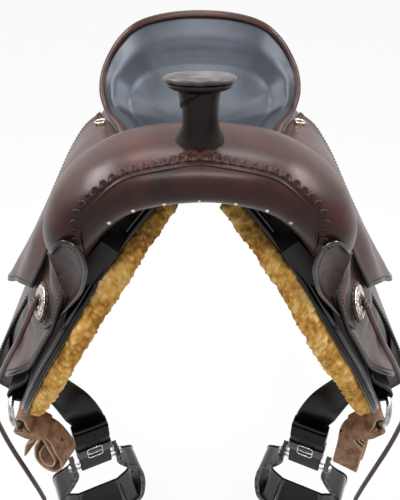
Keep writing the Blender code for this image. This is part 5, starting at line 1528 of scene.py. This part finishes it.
boltAlong = twistAt(hang["bolt"][2])
boltThrough = Vector((boltAlong.y, -boltAlong.x, 0.0))


def leatherLine():
    place, down, out = sideFrame(hang["y"], hang["barS"])
    pivot = place + out * (hang["barOuter"] + hang["swingGap"] + hang["thickness"] / 2)
    top = [pivot + down * step for step in hang["overBar"]]
    run = [Vector((x, hang["y"], z)) for x, z in hang["line"]]
    behind = Vector(hang["bolt"]) - boltThrough * hang["loop"]
    heights = (hang["twistBottom"], *hang["straight"], hang["bolt"][2])
    straight = [Vector((behind.x, behind.y, z)) for z in heights]
    return top + smoothLine([top[-1]] + run + straight, 7)[1:]


def fenderGrid(line):
    standOff = hang["thickness"] / 2 + hang["layerGap"]
    grid = []
    for i in range(1, len(line) - 1):
        if hang["fenderBottom"] < line[i].z < hang["fenderTop"]:
            across = twistAt(line[i].z)
            out = across.cross(heading(line, i)).normalized()
            half = valueThrough(hang["fenderHalf"], -line[i].z)
            grid.append([line[i] + out * standOff + across * half * t for t in spread(-1, 1, 33)])
    return grid


def addLeathers():
    down, bolt, reach = leatherLine(), Vector(hang["bolt"]), hang["loop"]
    loop = []
    for i in range(1, 16):
        t = math.pi * i / 16
        loop.append(bolt - boltThrough * reach * math.cos(t) - Vector((0, 0, reach * math.sin(t))))
    front = bolt + boltThrough * reach
    rise = [Vector((front.x, front.y, z)) for z in spread(bolt.z, hang["twistBottom"], 9)]
    path = down + loop + rise
    acrosses = [twistAt(p.z) for p in down] + [boltAlong] * (len(loop) + len(rise))
    thick, (inset, lift) = hang["fenderThickness"], hang["fenderSeam"]
    for end, side in sides.items():
        body, name = f"hang_{end}", f"stirrupLeather_{end}_strap"
        line, ways = [[mirrored(v, side) for v in values] for values in (path, acrosses)]
        made = strapLoft(name, line, ways, hang["width"], hang["thickness"], darkLeather)
        fit(made, body, "dark_leather", f"stirrup_leather_{end}")
        grid = mirrorGrid(fenderGrid(down), side)
        made, rim = leatherSheet(f"fenderLeather_{end}", grid, thick, tooledLeather)
        fit(made, body, "brown_leather", f"fender_{end}")
        edges = ("firstColumn", "lastColumn")
        sewRim(f"fenderStitches_{end}", rim, edges, inset, thick + lift, body, "brown_leather")
        addHobble(end, side, body)


def addHobble(end, side, body):
    across, through, up = mirrored(boltAlong, side), mirrored(boltThrough, side), Vector((0, 0, 1))
    centre = mirrored((*hang["bolt"][:2], hobble["z"]), side)
    deep = hang["loop"] + hang["thickness"] / 2 + hang["layerGap"]
    wall, corner = hobble["wall"], hobble["corner"]
    wideAt, deepAt = (half - corner + wall / 2 for half in (hang["width"] / 2 + hobble["clear"], deep))
    path = []
    for sx, sy, start in ((1, 1, 0), (-1, 1, 90), (-1, -1, 180), (1, -1, 270)):
        for t in (math.radians(start + 18 * step) for step in range(6)):
            path.append(centre + across * (sx * wideAt + corner * math.cos(t))
                        + through * (sy * deepAt + corner * math.sin(t)))
    rings = []
    for i, place in enumerate(path):
        outward = heading(path, i, cyclic=True).cross(up).normalized()
        rings.append([place + outward * u * wall + up * v * hobble["height"] for u, v in hobble["section"]])
    strap = loft(f"hobbleStrap_{end}_leather", rings, glazedLeather, cyclic=True, sharp=70)
    fit(strap, body, "black_leather", f"hobble_strap_{end}")

    face = centre + through * (deep + wall + hobble["buckleLift"])
    wide, high = hobble["buckleHalfWidth"], hobble["buckleHalfHeight"]
    bars = []
    for u, z in ((-1, -1), (0, -1), (1, -1), (1, 0), (1, 1), (0, 1), (-1, 1), (-1, 0)):
        shrink = hobble["cornerShare"] if u and z else 1.0
        bars.append(face + across * u * wide * shrink + up * z * high * shrink)
    ring = tube(f"buckleFrame_{end}", smoothLoop(bars, 5), hobble["wire"], stainless, cyclic=True)
    rise, lift = hobble["prongRise"], hobble["prongLift"]
    pin = [face + across * wide * (1 - 2 * t) + through * (rise * math.sin(math.pi * t) + lift)
           for t in spread(0, 1, 9)]
    prong = tube(f"bucklePin_{end}", pin, hobble["prong"], stainless, count=8)
    made = joinPieces(f"hobbleBuckle_{end}_wire", [ring, prong])
    fit(made, body, "stainless_steel", f"hobble_buckle_{end}")


addLeathers()
print("leathers hung")


# Stirrups: wood and steel wrapped in glazed leather, with a ribbed metal strip on each edge
stirrup = {
    "line": metres(((0, 12), (0, -9), (15, -27), (33, -42), (37, -66), (35.5, -98), (28, -128))),
    "neckHalf": 0.0395, "wall": 0.0085, "height": 0.150, "depth": 0.074, "tread": 0.092, "neckDepth": 0.034,
    "corner": 0.004, "widenTo": -0.075, "square": (0.55, 0.35), "uneven": (0.0007, 0.016, 31.0),
    "stripOut": 0.0004, "stripExtra": 0.0012,
    "stripThickness": 0.0011, "ribPitch": 0.0042, "ribHeight": 0.0009,
    "rib": (-0.0044, -0.0036, 0.0036, 0.0044),
}


def stirrupLine():
    floor, foot, corner = -stirrup["height"], stirrup["tread"] / 2, stirrup["corner"]
    half = [(stirrup["neckHalf"] + stirrup["wall"] / 2 + u, z) for u, z in stirrup["line"]]
    half += [(foot + corner, floor + corner), (foot - corner, floor), (0.0, floor)]
    return smoothLine(half + [(-u, z) for u, z in half[-2::-1]], 8)


def addStirrups():
    line, up = stirrupLine(), Vector((0, 0, 1))
    flat, broad = stirrup["square"]
    for end, side in sides.items():
        across, through = mirrored(boltAlong, side), mirrored(boltThrough, side)
        bolt = mirrored(hang["bolt"], side)
        rings, edges = [], [[], []]
        for i, at in enumerate(line):
            along = heading(line, i)
            normal = across * along.y - up * along.x
            place = bolt + across * at.x + up * at.y
            half = ease(stirrup["neckDepth"], stirrup["depth"], 0.0, stirrup["widenTo"], at.y) / 2
            rings.append([place + normal * squared(math.cos(t), flat) * stirrup["wall"] / 2
                          + through * squared(math.sin(t), broad) * half for t in roundTurns(24)])
            for way, edge in zip((1, -1), edges):
                edge.append((place + through * (half + stirrup["stripOut"]) * way, through * way, normal))
        made = loft(f"stirrupBow_{end}", rings, glazedLeather, sharp=80)
        roughen(made, *stirrup["uneven"])
        fit(made, f"stirrup_{end}", "black_leather", f"stirrup_{end}")
        addStrips(end, edges)


def addStrips(end, edges):
    # A metal strip is bent round each edge of the bow, with ribs pressed across it
    ribs, bands = [], []
    width = stirrup["wall"] + stirrup["stripExtra"]
    thick, high = stirrup["stripThickness"], stirrup["ribHeight"]
    for number, edge in enumerate(edges):
        path, ups, flats = zip(*edge)
        bands.append(strapLoft(f"strip_{end}_{number}", path, flats, width, thick, wornSteel))
        carried = 0.0
        for before, place, up, flat in zip(path, path[1:], ups[1:], flats[1:]):
            carried += (place - before).length
            if carried >= stirrup["ribPitch"]:
                carried = 0.0
                ribs.append((place + up * thick / 2, up, flat, 1.0))
    fit(joinPieces(f"stirrupStrips_{end}", bands), f"stirrup_{end}", "stainless_steel")
    sizes = [(high * share, high * share) for share in (0.3, 1, 1, 0.3)]
    rib = tube("ribStamp", [Vector((x, 0, 0)) for x in stirrup["rib"]], sizes, wornSteel, count=8)
    stampAll(f"stirrupRibs_{end}", ribs, rib, f"stirrup_{end}", "stainless_steel")


addStirrups()
print("stirrups hung")


# Latigo and off billet: roughout strap folded up through each front dee
hanks = {
    "latigo": {
        "side": 1, "turn": 58, "keeperNode": "latigo_keeper", "keeper": (-0.0118, 0.0134),
        # Place and facing of each punched hole
        "holes": (((0.2228, 0.0686, -0.3901), (-0.611, -0.462, 0.643)),
                  ((0.2415, 0.0761, -0.3676), (-0.671, 0.0, 0.742))),
        "line": metres((
            (12.2, -62), (11.2, -48), (10, -35), (8.5, -16), (7.8, 0), (5.5, 5.5), (0, 7.8), (-5.5, 5.5),
            (-7.8, 0), (-7.8, -16), (-8.5, -33), (-10.4, -50), (-12.5, -68), (-16, -100), (-14.8, -114),
            (-9.5, -115), (-6.2, -100), (-4, -66), (-3.3, -49), (-2.8, -33), (-2.8, -20), (0, -12.5),
            (2.8, -20), (2.8, -33), (3.6, -49), (4.6, -66), (6.6, -96), (10.5, -113), (17.5, -118),
            (23.5, -108), (23.5, -90), (20.5, -72),
        )),
    },
    "off_billet": {
        "side": -1, "turn": 22, "keeperNode": "billet_keeper", "keeper": (-0.0124, 0.0146),
        "holes": (((-0.2358, 0.0758, -0.3722), (0.586, 0.0, 0.81)),
                  ((-0.2162, 0.0553, -0.3948), (0.713, -0.235, 0.661))),
        "line": metres((
            (36, -98), (27, -68), (12.2, -40), (8.8, -20), (7.8, 0), (5.5, 5.5), (0, 7.8), (-5.5, 5.5),
            (-7.8, 0), (-8, -16), (-8.8, -31), (-20, -48), (-35, -69), (-33, -94), (-17, -112), (2, -111),
            (13, -94), (11, -70), (5, -48), (2.8, -33), (2.8, -20), (0, -12.5), (-2.8, -20), (-3, -34),
            (-10, -48), (-21, -64), (-23.5, -82), (-15, -99), (-2, -100), (4, -88), (2, -70),
        )),
    },
}
strap = {
    "width": 0.040, "thickness": 0.0034, "shift": -0.026, "keeperWall": 0.0022, "keeperTop": -0.0140,
    "keeperFoot": -0.0305, "keeperClear": 0.0008, "keeperCorner": 0.0022, "holeDepth": 0.0006,
    # Heights over which the hank turns, moves towards the horse and takes up the dee's curve
    "turnOver": (-0.064, -0.029), "shiftOver": (-0.040, -0.006), "riseOver": (-0.014, -0.003),
    # Half of the strap's section, as shares of its width and half its thickness
    "section": ((-0.47, 1.0), *[(u, 1.0) for u in spread(-0.40, 0.40, 7)], (0.47, 1.0), (0.5, 0.5),
                (0.5, -0.5)),
    "hole": ((0.0, 0.0022), (0.0008, 0.0021), (0.0009, 0.0008)),
}


def hankPlace(look, out, across, up):
    pivot, curve = deePivot(), rigging["deeWidth"] / 2
    turn = math.radians(look["turn"]) * ease(1.0, 0.0, *strap["turnOver"], up)
    shift = strap["shift"] * ease(1.0, 0.0, *strap["shiftOver"], up)
    rise = curve - math.sqrt(curve**2 - min(abs(across), 0.03) ** 2)
    rise *= ease(0.0, 1.0, *strap["riseOver"], up)
    x = pivot.x + shift + out * math.cos(turn) + across * math.sin(turn)
    y = pivot.y + out * math.sin(turn) - across * math.cos(turn)
    return mirrored((x, y, pivot.z - rigging["deeDrop"] + up + rise), look["side"])


def foldedStrap(name, look):
    points = [Vector((p.x, p.y)) for p in smoothLine(look["line"], 5)]
    shape = strap["section"] + tuple((-u, -v) for u, v in strap["section"])
    rings, marks = [], []
    for i, point in enumerate(points):
        along = heading(points, i)
        normal = Vector((-along.y, along.x)) * strap["thickness"] / 2
        ats = [(point + normal * v, u * strap["width"]) for u, v in shape]
        rings.append([hankPlace(look, at.x, across, at.y) for at, across in ats])
        marks += [max(0.0, 1 - (0.5 - abs(u)) * strap["width"] / edgeReach) for u, _ in shape]
    return markEdges(loft(name, rings, roughout, sharp=70), marks)


def strapKeeper(name, look):
    inner, outer = look["keeper"]
    edge, wall = strap["width"] / 2 + strap["keeperClear"], strap["keeperWall"]
    corner, top, foot = strap["keeperCorner"], strap["keeperTop"], strap["keeperFoot"]
    rings = []
    for grow, first, last in ((0.0, foot, top), (1.0, top, foot)):
        for step, up in enumerate(spread(first, last, 8)):
            swell = wall * grow * (1 - 0.25 * (step in (0, 7)))
            ring = []
            for sx, sy in ((1, 1), (-1, 1), (-1, -1), (1, -1)):
                far = (outer + swell) if sx > 0 else -(inner - swell)
                for t in (math.radians(30 * k) for k in range(4)):
                    c, s = (math.cos(t), math.sin(t)) if sx * sy > 0 else (math.sin(t), math.cos(t))
                    out, across = sx * (far - corner + corner * c), sy * (edge + swell - corner + corner * s)
                    ring.append(hankPlace(look, out, across, up))
            rings.append(ring)
    return loft(name, rings, roughout, cyclic=True, sharp=60)


def addHanks():
    for node, look in hanks.items():
        keeper = look["keeperNode"]
        fit(foldedStrap(f"{node}_strap", look), node, "tan_roughout", node)
        fit(strapKeeper(f"{keeper}_band", look), node, "tan_roughout", keeper)
        # Each hole is a near-black disc laid on the strap: painted shade
        hole = turned("holeStamp", (0, 0, -strap["holeDepth"]), (0, 0, 1), strap["hole"], holeShade, 12)
        spots = [(Vector(place), Vector(up), Vector(up).orthogonal().normalized(), 1.0)
                 for place, up in look["holes"]]
        stampAll(f"{node}_holes", spots, hole, node, "tan_roughout")


addHanks()
print("latigo and billet folded")


# Conchos on scalloped rosettes, and the tie dees beside the seat
ornaments = {
    "y": 0.008, "s": 0.190, "gap": 0.0009, "rosetteRadius": 0.0240, "rosetteThickness": 0.0026,
    "scallops": 18, "conchoRadius": 0.0200, "conchoThickness": 0.0040, "conchoGap": 0.0004, "petals": 12,
    # Height, and share of the concho's radius
    "concho": ((0.0, 0.985), (0.0005, 1), (0.0012, 0.985), (0.0014, 0.90), (0.0013, 0.86), (0.0021, 0.80),
               (0.0028, 0.66), (0.0031, 0.52), (0.0027, 0.47), (0.0033, 0.42), (0.0039, 0.28),
               (0.0040, 0.10)),
    # The string's loop over the concho's face: along it, and out
    "loop": metres(((10, -2.6), (7.2, -0.6), (3.5, 1.2), (0, 1.8), (-3.5, 1.2), (-7.2, -0.6), (-10, -2.6))),
    "lace": (0.0036, 0.0015), "knot": (0.0052, 0.0034, 0.0030), "knotRadius": 0.0021, "laceLift": 0.0006,
    "pinking": 0.045, "pinkedIn": 0.03, "engraving": 0.0009, "engraved": (0.5, 0.84), "milling": 0.02,
}
tieDee = {
    "wire": 0.0014, "reach": 0.013, "half": 0.009, "gap": 0.0010, "row": 10, "share": 0.45,
    "shape": ((0, -0.93), (0, 0), (0, 0.93), (0.45, 1), (0.85, 0.75), (1.0, 0), (0.85, -0.75), (0.45, -1)),
}


def conchoFrame(side):
    # Where the front jockey would carry the rosette without touching its rim
    y, s = ornaments["y"], ornaments["s"]
    steps = spread(-ornaments["rosetteRadius"], ornaments["rosetteRadius"], 7)
    outer = [[frontJockeyPoint(y + dy, s + ds) for dy in steps] for ds in steps]
    out = (outer[3][-1] - outer[3][0]).cross(outer[-1][3] - outer[0][3]).normalized()
    if out.x < 0:
        out = -out
    here = frontJockeyPoint(y, s)
    lift = max((p - here).dot(out) for row in outer for p in row)
    return mirrored(here + out * lift, side), mirrored(out, side)


def addConchos():
    radius, thick, big = (ornaments[key] for key in ("rosetteRadius", "rosetteThickness", "conchoRadius"))
    face = ((0.0, 0.97), (0.0008, 1), (thick - 0.0006, 0.99), (thick, 0.96), (thick, 0.5),
            (thick, 0.001 / radius))

    def pinked(h, r, t):
        wave = ornaments["pinking"] * abs(math.sin(t * ornaments["scallops"] / 2))
        return h, r * (1 + wave - ornaments["pinkedIn"]) if r > radius * 0.9 else r

    def engraved(h, r, t):
        share, (inner, outer) = r / big, ornaments["engraved"]
        if inner < share < outer:
            return h - ornaments["engraving"] * (1 - abs(math.sin(t * ornaments["petals"] / 2))) ** 2, r
        return h, r * (1 + ornaments["milling"] * abs(math.sin(t * 12))) if share > 0.95 else r

    for end, side in sides.items():
        here, out = conchoFrame(side)
        base = here + out * (jockeys["thickness"] + ornaments["gap"])
        profile = [(h, radius * share) for h, share in face]
        made = turned(f"rosetteLeather_{end}", base, out, profile, brownLeather, 144, pinked)
        fit(made, "saddle", "brown_leather", f"rosette_{end}")
        base = base + out * (thick + ornaments["conchoGap"])
        profile = [(h, big * share) for h, share in ornaments["concho"]]
        made = turned(f"conchoSilver_{end}", base, out, profile, nickelSilver, 144, engraved)
        fit(made, "saddle", "nickel_silver", f"concho_{end}")

        # The string comes up through one slot of the concho and down through the other
        along = (Vector((0, 0, 1)) - out * out.z).normalized()
        across = along.cross(out)
        top = base + out * (ornaments["conchoThickness"] + ornaments["laceLift"])
        lace = smoothLine([top + along * a + out * b for a, b in ornaments["loop"]], 4)
        loop = tube(f"conchoLoop_{end}", lace, ornaments["lace"], latigoLace, start=across)
        wide, high, lift = ornaments["knot"]
        turn = [top + across * wide * math.cos(t) + along * high * math.sin(t) + out * lift
                for t in roundTurns(16)]
        knot = tube(f"conchoKnot_{end}", turn, ornaments["knotRadius"], latigoLace, cyclic=True, count=8)
        fit(joinPieces(f"conchoLace_{end}", [loop, knot]), "saddle", "dark_leather")


def tieDeeFrame(side):
    # The same place as the CAD's, from a grid as coarse as its own
    row, columns = tieDee["row"], seatJockeyColumns(2, 2)[:2]
    before, here, after = ([column[j] for column in columns] for j in (row - 1, row, row + 1))
    across = (here[1] - here[0]).normalized()
    out = across.cross((after[0] - before[0]).normalized()).normalized()
    if out.z < 0:
        out = -out
    place = here[0].lerp(here[1], tieDee["share"])
    return [mirrored(v, side) for v in (place, across, out.cross(across).normalized(), out)]


def addTieDees():
    for end, side in sides.items():
        here, across, along, out = tieDeeFrame(side)
        centre = here + out * (jockeys["thickness"] + tieDee["wire"] + tieDee["gap"])
        points = [centre + across * u * tieDee["reach"] + along * v * tieDee["half"]
                  for u, v in tieDee["shape"]]
        ring = tube(f"tieDee_{end}_ring", smoothLoop(points, 6), tieDee["wire"], castBrass, cyclic=True)
        fit(ring, f"tie_dee_{end}", "brass", f"tie_dee_{end}")


addConchos()
addTieDees()
print("ornaments set")


# CAD pieces that keep their own shape
kept = {
    # The tree bars and the cantle's tree are near-black: painted shade where they show in the gaps
    rawhide: ["tree_fork"], paintedShadeRawhide: ["tree_cantle", "tree_bar_near", "tree_bar_off"],
    brownLeather: ["ground_seat"], blackSteel: ["buckle_sleeve_near", "buckle_sleeve_off"],
    stainless: ["horn_core"] + [f"{name}_{end}" for name in ("buckle_plate", "stirrup_bolt", "bolt_roller")
                                for end in sides],
    treadRubber: ["stirrup_tread_near", "stirrup_tread_off"],
}
for finish, names in kept.items():
    for name in names:
        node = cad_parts[name]
        node.data.materials.clear()
        node.data.materials.append(finish)
print("kept pieces finished")
